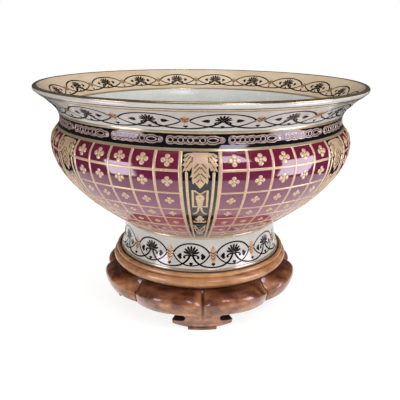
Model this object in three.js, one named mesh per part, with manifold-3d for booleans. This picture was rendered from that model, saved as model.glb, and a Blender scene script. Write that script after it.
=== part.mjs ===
// A wide porcelain bowl on a luted foot ring, standing on a turned and carved wooden stand.
// Lengths are in millimetres and angles in degrees, +Z is up and the origin is the middle of the floor.
// Heights of a piece are measured from the piece that carries it, so that a changed size moves all above it.

import * as THREE from 'three';
import { mergeVertices } from 'three/addons/utils/BufferGeometryUtils.js';
import Module from 'manifold-3d';

// Driving sizes of the porcelain foot ring
const FOOT_RIM_RADIUS = 92.4;
const FOOT_RIM_HEIGHT = 5.5;
const FOOT_HEIGHT = 42;
const FOOT_WAIST_INSET = 7;
const FOOT_TOP_INSET = 1.2;
const FOOT_WALL = 7;
const FOOT_BEVEL = 1;

// Driving sizes of the bowl
const BASE_RADIUS = 89.6;
const BASE_BEVEL = 1;
const BELLY_RADIUS = 163.4;
const BELLY_HEIGHT = 89;
const NECK_RADIUS = 153;
const NECK_RISE = 26.5;
const LIP_RADIUS = 178.4;
const LIP_RISE = 30.8;
const LIP_ROLL_RADIUS = 2.8;
const BOWL_WALL = 5;
const BOWL_FLOOR = 7;

// Driving sizes of the turned ring that the bowl stands in, outwards and inwards from the rebate for its foot
const FOOT_CLEARANCE = 1.8;
const RING_RIM_WIDTH = 7;
const RING_LEDGE_WIDTH = 9.9;
const RING_SEAT_INSET = 9.2;
const RING_COVE_HEIGHT = 4;
const RING_COVE_START = 1;
const RING_TORUS_HEIGHT = 9.4;
const RING_TORUS_DEPTH = 4.4;
const RING_GROOVE_DEPTH = 1.2;
const RING_GROOVE_WIDTH = 0.8;
const RING_BEAD_RADIUS = 2.3;
const RING_BEAD_INSET = 1.3;
const RING_BEVEL = 1;
const SEAT_HEIGHT = 14;

// Driving sizes of the four apron pieces with their bracket feet, outwards and inwards from the turned ring
const SEGMENT_NAMES = ['right', 'back', 'left', 'front'];
const PLINTH_HEIGHT = 3;
const PLINTH_HALF_ANGLE = 9;
const PLINTH_STEP = 0.8;
const TOE_INSET = 4.2;
const INSTEP_OVERHANG = 3.8;
const FOOT_HALF_ANGLE = 18.5;
const FOOT_TAIL_HEIGHT = 6.5;
const FOOT_BOTTOM_BEVEL = 0.6;
const LOBE_EDGE_BEVEL = 0.4;
const APRON_TOP_HEIGHT = 46;
const APRON_INNER_INSET = 1.5;
const LOBE_OVERHANG = 12.2;
const LOBE_SHOULDER_HEIGHT = 36.5;
const LOBE_EDGE_OVERHANG = 7.2;
const LOBE_EDGE_HEIGHT = 22;
const CREASE_OVERHANG = 5.3;
const CREASE_SHOULDER_HEIGHT = 34;
const CREASE_EDGE_OVERHANG = 3.8;
const CREASE_SPREAD_ANGLE = 4;
const SEAM_OVERHANG = 1.3;
const SEAM_SHOULDER_HEIGHT = 31.5;
const SEAM_EDGE_INSET = 1.2;
const SEAM_EDGE_HEIGHT = 19.5;
const SEAM_SPREAD_ANGLE = 22;
const MITRE_GAP = 0.3;

// Driving sizes of the teardrop notches between apron and foot tails
const NOTCH_INNER_ANGLE = 9.9;
const NOTCH_OUTER_ANGLE = 19.7;
const NOTCH_RISE = 0.4;
const NOTCH_SILL_RISE = 5.3;

// Driving sizes of the loose tongues in the mitres and of the screws under the ring
const TONGUE_THICKNESS = 3;
const TONGUE_WIDTH = 16;
const TONGUE_HEIGHT = 20;
const TONGUE_INSET = 5;
const TONGUE_CLEARANCE = 0.3;
const SCREW_ANGLE = 27;
const SCREW_INSET = 9;
const SCREW_RADIUS = 2;
const SCREW_HEAD_RADIUS = 3.8;
const SCREW_HEAD_HEIGHT = 2.4;
const SCREW_SLOT_WIDTH = 0.9;
const SCREW_SLOT_DEPTH = 1;
const SCREW_GRIP = 18;
const SCREW_BITE = 9;
const SCREW_CLEARANCE = 0.3;

// Counts of steps round the turned pieces and along their curves
const TURNED_STEPS = 52;
const CURVE_STEPS = 7;
const ROLL_STEPS = 5;
const APRON_STEPS = 5;
const FOOT_STEPS = 4;
const SCREW_STEPS = 10;

// Levels, radii and angles worked out from the driving sizes
const SEAT_LEVEL = APRON_TOP_HEIGHT + SEAT_HEIGHT;
const BOWL_LEVEL = SEAT_LEVEL + FOOT_HEIGHT;
const REBATE_RADIUS = FOOT_RIM_RADIUS + FOOT_CLEARANCE;
const RING_RADIUS = REBATE_RADIUS + RING_RIM_WIDTH;
const RING_BORE_RADIUS = FOOT_RIM_RADIUS - RING_LEDGE_WIDTH;
const RING_SEAT_RADIUS = RING_RADIUS - RING_SEAT_INSET;
const APRON_INNER_RADIUS = RING_BORE_RADIUS - APRON_INNER_INSET;
const TOE_RADIUS = RING_RADIUS - TOE_INSET;
const INSTEP_RADIUS = RING_RADIUS + INSTEP_OVERHANG;
const LOBE_RADIUS = RING_RADIUS + LOBE_OVERHANG;
const LOBE_EDGE_RADIUS = RING_RADIUS + LOBE_EDGE_OVERHANG;
const CREASE_RADIUS = RING_RADIUS + CREASE_OVERHANG;
const CREASE_EDGE_RADIUS = RING_RADIUS + CREASE_EDGE_OVERHANG;
const SEAM_RADIUS = RING_RADIUS + SEAM_OVERHANG;
const SEAM_EDGE_RADIUS = RING_RADIUS - SEAM_EDGE_INSET;
const TONGUE_RADIUS = APRON_INNER_RADIUS + TONGUE_INSET;
const SCREW_CIRCLE_RADIUS = APRON_INNER_RADIUS + SCREW_INSET;
const NOTCH_TOP_HEIGHT = LOBE_EDGE_HEIGHT + NOTCH_RISE;
const NOTCH_SILL_HEIGHT = FOOT_TAIL_HEIGHT + NOTCH_SILL_RISE;
const SEGMENT_HALF_ANGLE = 180 / SEGMENT_NAMES.length;
const EDGE_ANGLE = 0.4;
const CUT_MARGIN = 1;
const ROUNDING = 1e-4;

const wasm = await Module();
wasm.setup();

// Materials

const glazedPorcelain = new THREE.MeshStandardMaterial({ color: 0xd9d8d6, roughness: 0.15, metalness: 0 });
const turnedWood = new THREE.MeshStandardMaterial({ color: 0xb9824f, roughness: 0.35, metalness: 0 });
const carvedWood = new THREE.MeshStandardMaterial({ color: 0x8f5a36, roughness: 0.4, metalness: 0 });
const tongueWood = new THREE.MeshStandardMaterial({ color: 0xc79d6b, roughness: 0.7, metalness: 0 });
const screwBrass = new THREE.MeshStandardMaterial({ color: 0xb08d4a, roughness: 0.35, metalness: 1 });

// Helpers for outlines

function radians(degrees) {
  return THREE.MathUtils.degToRad(degrees);
}

// Points of a cubic curve through two ends, given with its two handles
function curve(start, startHandle, endHandle, end, steps = CURVE_STEPS) {
  const corners = [start, startHandle, endHandle, end].map((corner) => new THREE.Vector2(...corner));
  return new THREE.CubicBezierCurve(...corners).getPoints(steps);
}

// Points of an arc of an ellipse, from one angle to another
function arc(centre, halfWidth, halfHeight, startAngle, endAngle, steps = ROLL_STEPS) {
  const points = [];
  for (let step = 0; step <= steps; step += 1) {
    const angle = radians(THREE.MathUtils.lerp(startAngle, endAngle, step / steps));
    const offset = [halfWidth * Math.cos(angle), halfHeight * Math.sin(angle)];
    points.push(new THREE.Vector2(centre[0] + offset[0], centre[1] + offset[1]));
  }
  return points;
}

// The outline without points that fall on the one before
function withoutRepeats(points) {
  const far = (point, index) => index === 0 || point.distanceTo(points[index - 1]) > ROUNDING;
  return points.filter(far);
}

// A body turned about the upright axis from a list of points of radius and height
function turned(points, steps = TURNED_STEPS) {
  const geometry = new THREE.LatheGeometry(withoutRepeats(points), steps);
  return geometry.rotateX(Math.PI / 2);
}

// Helpers for solids

function solidOf(geometry) {
  const bare = geometry.clone();
  bare.deleteAttribute('normal');
  bare.deleteAttribute('uv');
  const merged = mergeVertices(bare, ROUNDING);
  const vertProperties = Float32Array.from(merged.attributes.position.array);
  const triVerts = Uint32Array.from(merged.index.array);
  return new wasm.Manifold(new wasm.Mesh({ numProp: 3, vertProperties, triVerts }));
}

function geometryOf(solid) {
  const mesh = solid.getMesh();
  const geometry = new THREE.BufferGeometry();
  geometry.setAttribute('position', new THREE.BufferAttribute(Float32Array.from(mesh.vertProperties), 3));
  geometry.setIndex(new THREE.BufferAttribute(Uint32Array.from(mesh.triVerts), 1));
  geometry.computeVertexNormals();
  return geometry;
}

function cut(geometry, tools) {
  let solid = solidOf(geometry);
  for (const tool of tools) {
    solid = solid.subtract(solidOf(tool));
  }
  return geometryOf(solid);
}

function named(name, geometry, material) {
  const mesh = new THREE.Mesh(geometry, material);
  mesh.name = name;
  return mesh;
}

// Middle of the roll along the lip, as radius and height
function lipCentre() {
  return [LIP_RADIUS - LIP_ROLL_RADIUS, BOWL_LEVEL + BELLY_HEIGHT + NECK_RISE + LIP_RISE];
}

// The bowl's outer outline, from the edge of its base up to the roll of the lip.
// Each curve's handles reach along it by a share of its own rise or spread.
function bowlOutside() {
  const baseEdge = [BASE_RADIUS, BOWL_LEVEL + BASE_BEVEL];
  const belly = [BELLY_RADIUS, BOWL_LEVEL + BELLY_HEIGHT];
  const neck = [NECK_RADIUS, belly[1] + NECK_RISE];
  const lip = lipCentre();
  const lipUnderside = [lip[0] + LIP_ROLL_RADIUS * 0.3, lip[1] - LIP_ROLL_RADIUS];
  const spread = belly[0] - baseEdge[0];
  const flare = lipUnderside[0] - neck[0];
  const lowerHandle = [baseEdge[0] + spread * 0.43, baseEdge[1] + BELLY_HEIGHT * 0.235];
  const bellyHandle = [belly[0], belly[1] - BELLY_HEIGHT * 0.38];
  const shoulderHandle = [belly[0], belly[1] + NECK_RISE * 0.55];
  const neckLowerHandle = [neck[0], neck[1] - NECK_RISE * 0.5];
  const neckUpperHandle = [neck[0], neck[1] + LIP_RISE * 0.32];
  const flareHandle = [lipUnderside[0] - flare * 0.48, lipUnderside[1] - LIP_RISE * 0.27];
  return [
    ...curve(baseEdge, lowerHandle, bellyHandle, belly, CURVE_STEPS + 2),
    ...curve(belly, shoulderHandle, neckLowerHandle, neck, CURVE_STEPS - 2),
    ...curve(neck, neckUpperHandle, flareHandle, lipUnderside, CURVE_STEPS - 1),
  ];
}

// The same outline moved inwards by the wall, square to the outline
function movedInwards(points, distance) {
  return points.map((point, index) => {
    const before = points[Math.max(index - 1, 0)];
    const after = points[Math.min(index + 1, points.length - 1)];
    const along = after.clone().sub(before).normalize();
    return new THREE.Vector2(point.x - along.y * distance, point.y + along.x * distance);
  });
}

function bowlBody() {
  const outside = withoutRepeats(bowlOutside());
  const lip = lipCentre();
  const roll = arc(lip, LIP_ROLL_RADIUS, LIP_ROLL_RADIUS, -40, 130);
  const floorLevel = BOWL_LEVEL + BOWL_FLOOR;
  const wallBottom = floorLevel + BOWL_FLOOR * 0.6;
  const wallTop = lip[1] - LIP_ROLL_RADIUS * 0.4;
  const inside = movedInwards(outside, BOWL_WALL).reverse();
  const wall = inside.filter((point) => point.y > wallBottom && point.y < wallTop);
  const edge = wall[wall.length - 1];
  const floorEdge = [edge.x * 0.86, floorLevel];
  const floor = curve([edge.x, edge.y], floorEdge, [edge.x * 0.5, floorLevel], [0, floorLevel], ROLL_STEPS);
  const base = [new THREE.Vector2(0, BOWL_LEVEL), new THREE.Vector2(BASE_RADIUS - BASE_BEVEL, BOWL_LEVEL)];
  const profile = [...base, ...outside, ...roll, ...wall, ...floor.slice(1)];
  return named('bowl_body', turned(profile), glazedPorcelain);
}

// The foot ring stands in the rebate of the wooden ring and is luted to the underside of the bowl
function bowlFootRing() {
  const rimTop = [FOOT_RIM_RADIUS, SEAT_LEVEL + FOOT_RIM_HEIGHT];
  const top = [BASE_RADIUS - FOOT_TOP_INSET, BOWL_LEVEL];
  const rise = top[1] - rimTop[1];
  const waistRadius = FOOT_RIM_RADIUS - FOOT_WAIST_INSET;
  const outside = curve(
    rimTop,
    [waistRadius + FOOT_WAIST_INSET * 0.2, rimTop[1] + rise * 0.3],
    [waistRadius, top[1] - rise * 0.33],
    top,
  );
  const inside = movedInwards(outside, FOOT_WALL).reverse();
  inside[0].y = BOWL_LEVEL;
  const rimInside = FOOT_RIM_RADIUS - FOOT_WALL;
  const profile = [
    new THREE.Vector2(rimInside + FOOT_BEVEL, SEAT_LEVEL),
    new THREE.Vector2(FOOT_RIM_RADIUS - FOOT_BEVEL, SEAT_LEVEL),
    new THREE.Vector2(FOOT_RIM_RADIUS, SEAT_LEVEL + FOOT_BEVEL),
    ...outside,
    ...inside,
    new THREE.Vector2(rimInside, SEAT_LEVEL + FOOT_BEVEL),
    new THREE.Vector2(rimInside + FOOT_BEVEL, SEAT_LEVEL),
  ];
  return named('bowl_foot_ring', turned(profile), glazedPorcelain);
}

// Outline of the turned ring: cove, torus, groove and bead outside, ledge and rebate for the foot inside
function ringProfile() {
  const coveTop = APRON_TOP_HEIGHT + RING_COVE_HEIGHT;
  const torusCentre = [RING_RADIUS - RING_TORUS_DEPTH, coveTop + RING_TORUS_HEIGHT / 2];
  const grooveRadius = torusCentre[0] - RING_GROOVE_DEPTH;
  const coveRadius = RING_SEAT_RADIUS + RING_COVE_START;
  const torusTop = coveTop + RING_TORUS_HEIGHT;
  const beadCentre = [REBATE_RADIUS + RING_BEAD_INSET, torusTop + RING_GROOVE_WIDTH + RING_BEAD_RADIUS];
  return [
    new THREE.Vector2(RING_BORE_RADIUS, APRON_TOP_HEIGHT),
    new THREE.Vector2(RING_SEAT_RADIUS, APRON_TOP_HEIGHT),
    ...curve(
      [coveRadius, APRON_TOP_HEIGHT + RING_COVE_START],
      [coveRadius, coveTop],
      [coveRadius, coveTop],
      [torusCentre[0], coveTop],
      3,
    ),
    ...arc(torusCentre, RING_TORUS_DEPTH, RING_TORUS_HEIGHT / 2, -90, 90, ROLL_STEPS + 1).slice(1),
    new THREE.Vector2(grooveRadius, torusTop + RING_GROOVE_WIDTH / 2),
    ...arc(beadCentre, RING_BEAD_RADIUS, RING_BEAD_RADIUS, -60, 120, ROLL_STEPS - 1),
    new THREE.Vector2(REBATE_RADIUS, beadCentre[1] + RING_BEAD_RADIUS * 0.4),
    new THREE.Vector2(REBATE_RADIUS, SEAT_LEVEL),
    new THREE.Vector2(RING_BORE_RADIUS + RING_BEVEL, SEAT_LEVEL),
    new THREE.Vector2(RING_BORE_RADIUS, SEAT_LEVEL - RING_BEVEL),
    new THREE.Vector2(RING_BORE_RADIUS, APRON_TOP_HEIGHT),
  ];
}

function screwPlaces() {
  const places = [];
  SEGMENT_NAMES.forEach((side, index) => {
    for (const [hand, turn] of [['a', -SCREW_ANGLE], ['b', SCREW_ANGLE]]) {
      places.push({ name: `ring_screw_${side}_${hand}`, angle: index * 2 * SEGMENT_HALF_ANGLE + turn });
    }
  });
  return places;
}

// A round cutting tool at a place on the screw circle, between two heights
function drill(angle, radius, bottom, top) {
  const tool = new THREE.CylinderGeometry(radius, radius, top - bottom, SCREW_STEPS);
  tool.rotateX(Math.PI / 2);
  tool.translate(SCREW_CIRCLE_RADIUS, 0, (bottom + top) / 2);
  return tool.rotateZ(radians(angle));
}

function seatRing() {
  const holeTop = APRON_TOP_HEIGHT + SCREW_BITE + SCREW_CLEARANCE;
  const holes = screwPlaces().map((place) => {
    return drill(place.angle, SCREW_RADIUS + SCREW_CLEARANCE, APRON_TOP_HEIGHT - CUT_MARGIN, holeTop);
  });
  return named('seat_ring', cut(turned(ringProfile()), holes), turnedWood);
}

// How close an angle is to the crease over the foot, from 1 in it to almost 0 on a lobe
function nearCrease(angle) {
  return Math.exp(-Math.abs(angle) / CREASE_SPREAD_ANGLE);
}

// How close an angle is to the mitre, from 1 in it to 0 on a lobe
function nearSeam(angle) {
  const share = Math.min(1, (SEGMENT_HALF_ANGLE - Math.abs(angle)) / SEAM_SPREAD_ANGLE);
  return 1 - Math.sin(Math.PI / 2 * share) ** 0.9;
}

// A size of the carving at an angle, from what it is on a lobe, in the crease and at the mitre
function carved(angle, onLobe, inCrease, atSeam) {
  return onLobe + (inCrease - onLobe) * nearCrease(angle) + (atSeam - onLobe) * nearSeam(angle);
}

function shoulderAt(angle) {
  return new THREE.Vector2(
    carved(angle, LOBE_RADIUS, CREASE_RADIUS, SEAM_RADIUS),
    carved(angle, LOBE_SHOULDER_HEIGHT, CREASE_SHOULDER_HEIGHT, SEAM_SHOULDER_HEIGHT),
  );
}

function lobeEdgeAt(angle) {
  return new THREE.Vector2(
    carved(angle, LOBE_EDGE_RADIUS, CREASE_EDGE_RADIUS, SEAM_EDGE_RADIUS),
    carved(angle, LOBE_EDGE_HEIGHT, LOBE_EDGE_HEIGHT, SEAM_EDGE_HEIGHT),
  );
}

// From the ring's seat over the shoulder. On a lobe the curve is full, at a mitre it is hollow
function topCurve(angle) {
  const shoulder = shoulderAt(angle);
  const hollow = Math.min(1, 0.35 * nearCrease(angle) + nearSeam(angle));
  const out = shoulder.x - RING_SEAT_RADIUS;
  const down = APRON_TOP_HEIGHT - shoulder.y;
  const startReach = THREE.MathUtils.lerp(0.55, 0.04, hollow) * out;
  const startDrop = THREE.MathUtils.lerp(0, 0.55, hollow) * down;
  const endReach = THREE.MathUtils.lerp(1, 0.48, hollow) * out;
  const endDrop = THREE.MathUtils.lerp(0.38, 0.86, hollow) * down;
  return curve(
    [RING_SEAT_RADIUS, APRON_TOP_HEIGHT],
    [RING_SEAT_RADIUS + startReach, APRON_TOP_HEIGHT - startDrop],
    [RING_SEAT_RADIUS + endReach, APRON_TOP_HEIGHT - endDrop],
    [shoulder.x, shoulder.y],
    APRON_STEPS,
  );
}

// Face of a lobe from under the shoulder to its lower edge
function lobeFace(angle) {
  const shoulder = shoulderAt(angle);
  const edge = lobeEdgeAt(angle);
  const face = [];
  for (let step = 1; step <= APRON_STEPS; step += 1) {
    const share = step / APRON_STEPS;
    const swell = Math.sin((1 - share) * Math.PI / 2);
    const height = THREE.MathUtils.lerp(shoulder.y, edge.y, share);
    face.push(new THREE.Vector2(THREE.MathUtils.lerp(edge.x, shoulder.x, swell), height));
  }
  return face;
}

// Height of the foot's lower edge at an angle: the plinth's top over the plinth, and rising along the tail
function footEdge(angle) {
  const share = (Math.abs(angle) - PLINTH_HALF_ANGLE) / (FOOT_HALF_ANGLE - PLINTH_HALF_ANGLE);
  return THREE.MathUtils.lerp(PLINTH_HEIGHT, FOOT_TAIL_HEIGHT, THREE.MathUtils.clamp(share, 0, 1) ** 1.4);
}

// Face of the foot, set back under the lobes. Beside the foot the same points lie flat along the underside
function footFace(angle) {
  const edge = lobeEdgeAt(angle);
  const instep = edge.y - LOBE_EDGE_BEVEL;
  const besideFoot = Math.abs(angle) > FOOT_HALF_ANGLE;
  const setBack = besideFoot ? (LOBE_EDGE_RADIUS - SEAM_EDGE_RADIUS) * nearSeam(angle) : 0;
  const face = [];
  for (let step = 0; step <= FOOT_STEPS; step += 1) {
    const height = THREE.MathUtils.lerp(instep, footEdge(angle), step / FOOT_STEPS);
    const share = Math.max(height - PLINTH_HEIGHT, 0) / (LOBE_EDGE_HEIGHT - PLINTH_HEIGHT);
    const radius = THREE.MathUtils.lerp(TOE_RADIUS, INSTEP_RADIUS, share ** 0.8) - setBack;
    face.push(new THREE.Vector2(Math.min(radius, edge.x - LOBE_EDGE_BEVEL), besideFoot ? instep : height));
  }
  return face;
}

// Closed section of an apron piece at an angle from the middle of its foot, as radius and height
function apronSection(angle) {
  const foot = footFace(angle);
  const end = foot[foot.length - 1];
  const onPlinth = Math.abs(angle) <= PLINTH_HALF_ANGLE;
  const bottom = onPlinth ? 0 : end.y;
  const stepRadius = end.x + (onPlinth ? PLINTH_STEP : -FOOT_BOTTOM_BEVEL);
  const lowRadius = end.x + (onPlinth ? PLINTH_STEP : -2 * FOOT_BOTTOM_BEVEL);
  return [
    new THREE.Vector2(APRON_INNER_RADIUS, APRON_TOP_HEIGHT),
    ...topCurve(angle),
    ...lobeFace(angle),
    ...foot,
    new THREE.Vector2(stepRadius, onPlinth ? PLINTH_HEIGHT * 0.9 : bottom),
    new THREE.Vector2(lowRadius, bottom),
    new THREE.Vector2(APRON_INNER_RADIUS, bottom),
  ];
}

// Angles of the sections of half a piece, closer where the carving turns sharply
function sectionAngles() {
  const overFoot = [0.13, 0.33, 0.66].map((share) => share * PLINTH_HALF_ANGLE);
  const tailMiddle = (PLINTH_HALF_ANGLE + FOOT_HALF_ANGLE) / 2;
  const pastFoot = FOOT_HALF_ANGLE + EDGE_ANGLE;
  const shares = [0.2, 0.45, 0.67, 0.86, 0.95, 1];
  const overApron = shares.map((share) => THREE.MathUtils.lerp(pastFoot, SEGMENT_HALF_ANGLE, share));
  const pastPlinth = PLINTH_HALF_ANGLE + EDGE_ANGLE;
  const tail = [PLINTH_HALF_ANGLE, pastPlinth, tailMiddle, FOOT_HALF_ANGLE, pastFoot];
  const half = [...overFoot, ...tail, ...overApron];
  return [...half.map((angle) => -angle).reverse(), 0, ...half];
}

// Solid between the sections, with flat ends
function apronBlank() {
  const angles = sectionAngles();
  const sections = angles.map((angle) => apronSection(angle));
  const count = sections[0].length;
  const positions = [];
  sections.forEach((section, column) => {
    const direction = radians(angles[column]);
    for (const point of section) {
      positions.push(point.x * Math.cos(direction), point.x * Math.sin(direction), point.y);
    }
  });
  const indices = [];
  for (let column = 0; column < sections.length - 1; column += 1) {
    for (let row = 0; row < count; row += 1) {
      const near = column * count + row;
      const nearNext = column * count + (row + 1) % count;
      const far = near + count;
      const farNext = nearNext + count;
      indices.push(near, nearNext, far, nearNext, farNext, far);
    }
  }
  const last = (sections.length - 1) * count;
  for (const [a, b, c] of THREE.ShapeUtils.triangulateShape(sections[0], [])) {
    indices.push(a, b, c);
    indices.push(last + a, last + c, last + b);
  }
  const geometry = new THREE.BufferGeometry();
  geometry.setAttribute('position', new THREE.Float32BufferAttribute(positions, 3));
  geometry.setIndex(indices);
  return geometry;
}

// Slab that trims a mitred end by half of the glue gap
function mitreTrim(hand) {
  const reach = LOBE_RADIUS * 2;
  const slab = new THREE.BoxGeometry(reach, MITRE_GAP, APRON_TOP_HEIGHT * 3);
  return slab.rotateZ(radians(hand * SEGMENT_HALF_ANGLE));
}

// Slot in a mitred end for half of a tongue, open at the top
function tongueSlot(hand) {
  const depth = TONGUE_THICKNESS + 2 * TONGUE_CLEARANCE;
  const width = TONGUE_WIDTH + 2 * TONGUE_CLEARANCE;
  const height = TONGUE_HEIGHT + 2 * TONGUE_CLEARANCE;
  const slot = new THREE.BoxGeometry(depth, width, height + CUT_MARGIN);
  slot.translate(TONGUE_RADIUS, 0, APRON_TOP_HEIGHT + (CUT_MARGIN - height) / 2);
  return slot.rotateZ(radians(hand * SEGMENT_HALF_ANGLE));
}

// Teardrop that opens outwards between the apron's lower edge and the tail of the foot
function notch(hand) {
  const middleAngle = (NOTCH_INNER_ANGLE + NOTCH_OUTER_ANGLE) / 2;
  const halfLength = TOE_RADIUS * radians(NOTCH_OUTER_ANGLE - NOTCH_INNER_ANGLE) / 2;
  const opening = NOTCH_TOP_HEIGHT - NOTCH_SILL_HEIGHT;
  const roundRadius = opening * 0.4;
  const roundCentre = [-halfLength + roundRadius, NOTCH_SILL_HEIGHT + opening * 0.42];
  const outline = [
    ...arc(roundCentre, roundRadius, roundRadius, 100, 262),
    new THREE.Vector2(halfLength * 0.3, NOTCH_SILL_HEIGHT - opening * 0.03),
    new THREE.Vector2(halfLength, NOTCH_SILL_HEIGHT + opening * 0.07),
    new THREE.Vector2(halfLength, NOTCH_TOP_HEIGHT),
    new THREE.Vector2(halfLength * 0.25, NOTCH_TOP_HEIGHT),
  ];
  const shape = new THREE.Shape(outline.map((point) => new THREE.Vector2(point.x * hand, point.y)));
  const depth = LOBE_RADIUS - APRON_INNER_RADIUS + 2 * CUT_MARGIN;
  const tool = new THREE.ExtrudeGeometry(shape, { depth, bevelEnabled: false, steps: 1 });
  tool.rotateX(Math.PI / 2);
  tool.rotateZ(Math.PI / 2);
  tool.translate(APRON_INNER_RADIUS - CUT_MARGIN, 0, 0);
  return tool.rotateZ(radians(hand * middleAngle));
}

function apronPiece(side, index) {
  const hands = [-1, 1];
  const seatOfHead = APRON_TOP_HEIGHT - SCREW_GRIP;
  const holeEnd = APRON_TOP_HEIGHT + CUT_MARGIN;
  const screwHoles = hands.flatMap((hand) => [
    drill(hand * SCREW_ANGLE, SCREW_HEAD_RADIUS + SCREW_CLEARANCE, -CUT_MARGIN, seatOfHead),
    drill(hand * SCREW_ANGLE, SCREW_RADIUS + SCREW_CLEARANCE, seatOfHead - CUT_MARGIN, holeEnd),
  ]);
  const tools = [
    ...hands.map((hand) => mitreTrim(hand)),
    ...hands.map((hand) => tongueSlot(hand)),
    ...hands.map((hand) => notch(hand)),
    ...screwHoles,
  ];
  const piece = named(`apron_${side}`, cut(apronBlank(), tools), carvedWood);
  piece.rotation.z = radians(index * 2 * SEGMENT_HALF_ANGLE);
  return piece;
}

function mitreTongue(side, index) {
  const tongue = new THREE.BoxGeometry(TONGUE_THICKNESS, TONGUE_WIDTH, TONGUE_HEIGHT);
  tongue.translate(TONGUE_RADIUS, 0, APRON_TOP_HEIGHT - TONGUE_CLEARANCE - TONGUE_HEIGHT / 2);
  const next = SEGMENT_NAMES[(index + 1) % SEGMENT_NAMES.length];
  const piece = named(`mitre_tongue_${side}_${next}`, tongue, tongueWood);
  piece.rotation.z = radians((index * 2 + 1) * SEGMENT_HALF_ANGLE);
  return piece;
}

// Screw driven upwards: slotted head in the counterbore, shank through the apron into the ring
function ringScrew(place) {
  const headTop = APRON_TOP_HEIGHT - SCREW_GRIP;
  const headBottom = headTop - SCREW_HEAD_HEIGHT;
  const tip = APRON_TOP_HEIGHT + SCREW_BITE;
  const profile = [
    new THREE.Vector2(0, headBottom),
    new THREE.Vector2(SCREW_HEAD_RADIUS * 0.75, headBottom),
    new THREE.Vector2(SCREW_HEAD_RADIUS, headBottom + SCREW_HEAD_HEIGHT * 0.4),
    new THREE.Vector2(SCREW_HEAD_RADIUS, headTop),
    new THREE.Vector2(SCREW_RADIUS, headTop),
    new THREE.Vector2(SCREW_RADIUS, tip - SCREW_RADIUS * 2),
    new THREE.Vector2(0, tip),
  ];
  const slot = new THREE.BoxGeometry(SCREW_HEAD_RADIUS * 3, SCREW_SLOT_WIDTH, SCREW_SLOT_DEPTH * 2);
  slot.translate(0, 0, headBottom);
  const screw = named(place.name, cut(turned(profile, SCREW_STEPS), [slot]), screwBrass);
  const direction = radians(place.angle);
  screw.position.set(SCREW_CIRCLE_RADIUS * Math.cos(direction), SCREW_CIRCLE_RADIUS * Math.sin(direction), 0);
  screw.rotation.z = direction;
  return screw;
}

function stand() {
  const group = new THREE.Group();
  group.add(seatRing());
  SEGMENT_NAMES.forEach((side, index) => group.add(apronPiece(side, index)));
  SEGMENT_NAMES.forEach((side, index) => group.add(mitreTongue(side, index)));
  screwPlaces().forEach((place) => group.add(ringScrew(place)));
  return group;
}

function bowl() {
  const group = new THREE.Group();
  group.add(bowlBody());
  group.add(bowlFootRing());
  return group;
}

const footedBowl = new THREE.Group();
footedBowl.add(stand(), bowl());

export default footedBowl;
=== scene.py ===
# %% [markdown]
# # A footed porcelain bowl on a carved wooden stand
# The bowl is glazed porcelain with burgundy, black and white grounds, raised gold and fine black drawing.
# It stands loose in a turned wooden ring, and the ring sits on four carved apron pieces.
# This lesson dresses a plain solid model of it, piece by piece, in the model's own frame:
# metres, +Z up, the middle of the stand's footprint at the origin, the front of the stand towards -Y.

# %% Load the solid model
import math

import bmesh
import bpy
from mathutils import Matrix, Vector


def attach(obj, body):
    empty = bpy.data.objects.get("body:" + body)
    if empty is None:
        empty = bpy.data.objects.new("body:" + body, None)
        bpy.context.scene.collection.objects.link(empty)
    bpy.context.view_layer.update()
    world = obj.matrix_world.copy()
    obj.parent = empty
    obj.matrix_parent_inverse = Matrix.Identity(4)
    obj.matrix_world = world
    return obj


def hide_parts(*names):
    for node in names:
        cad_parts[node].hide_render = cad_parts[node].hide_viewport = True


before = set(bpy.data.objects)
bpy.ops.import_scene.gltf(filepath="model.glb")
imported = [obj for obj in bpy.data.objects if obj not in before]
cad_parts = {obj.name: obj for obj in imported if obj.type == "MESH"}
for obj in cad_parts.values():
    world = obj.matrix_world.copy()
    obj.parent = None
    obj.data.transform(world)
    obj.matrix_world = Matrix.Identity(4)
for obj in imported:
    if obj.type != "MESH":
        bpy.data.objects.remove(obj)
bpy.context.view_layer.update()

MM = 0.001

# %% [markdown]
# ## The camera
# A photograph of a round object gives the camera away: the ellipses of its rim and painted lines open wider
# the lower they lie, and how fast they open fixes the pitch and the distance.
# Here the lens is 0.6 m from the bowl's axis and looks down by about 18 degrees.
# The picture is turned by about half a degree, which a small roll of the camera gives back.

# %% Camera at the photograph's place
CAMERA_DISTANCE = 607
CAMERA_HEIGHT = 307
CAMERA_BEARING = -2.2
CAMERA_PITCH = 17.62
CAMERA_ROLL = 0.55
FOCAL_PIXELS = 543
PICTURE_PIXELS = 400
SENSOR_WIDTH = 36


def around(angle, radius, height):
    """Point in metres from a bearing in degrees (0 is the front, positive to the right) and millimetres."""
    turn = math.radians(angle)
    return Vector((radius * math.sin(turn), -radius * math.cos(turn), height)) * MM


def in_scene(name, data):
    """New object in the scene, from a mesh, a light or a lens."""
    thing = bpy.data.objects.new(name, data)
    bpy.context.scene.collection.objects.link(thing)
    return thing


def add_camera():
    lens = bpy.data.cameras.new("camera")
    lens.sensor_width = SENSOR_WIDTH
    lens.lens = FOCAL_PIXELS / PICTURE_PIXELS * SENSOR_WIDTH
    camera = in_scene("camera", lens)
    camera.location = around(CAMERA_BEARING, CAMERA_DISTANCE, CAMERA_HEIGHT)
    heading = Matrix.Rotation(math.radians(CAMERA_BEARING), 4, "Z")
    tilt = Matrix.Rotation(math.radians(90 - CAMERA_PITCH), 4, "X")
    roll = Matrix.Rotation(math.radians(CAMERA_ROLL), 4, "Z")
    camera.rotation_euler = (heading @ tilt @ roll).to_euler()
    bpy.context.scene.camera = camera
    return camera


camera = add_camera()
print("camera at", tuple(round(value, 4) for value in camera.location), "lens", round(camera.data.lens, 2))

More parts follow.
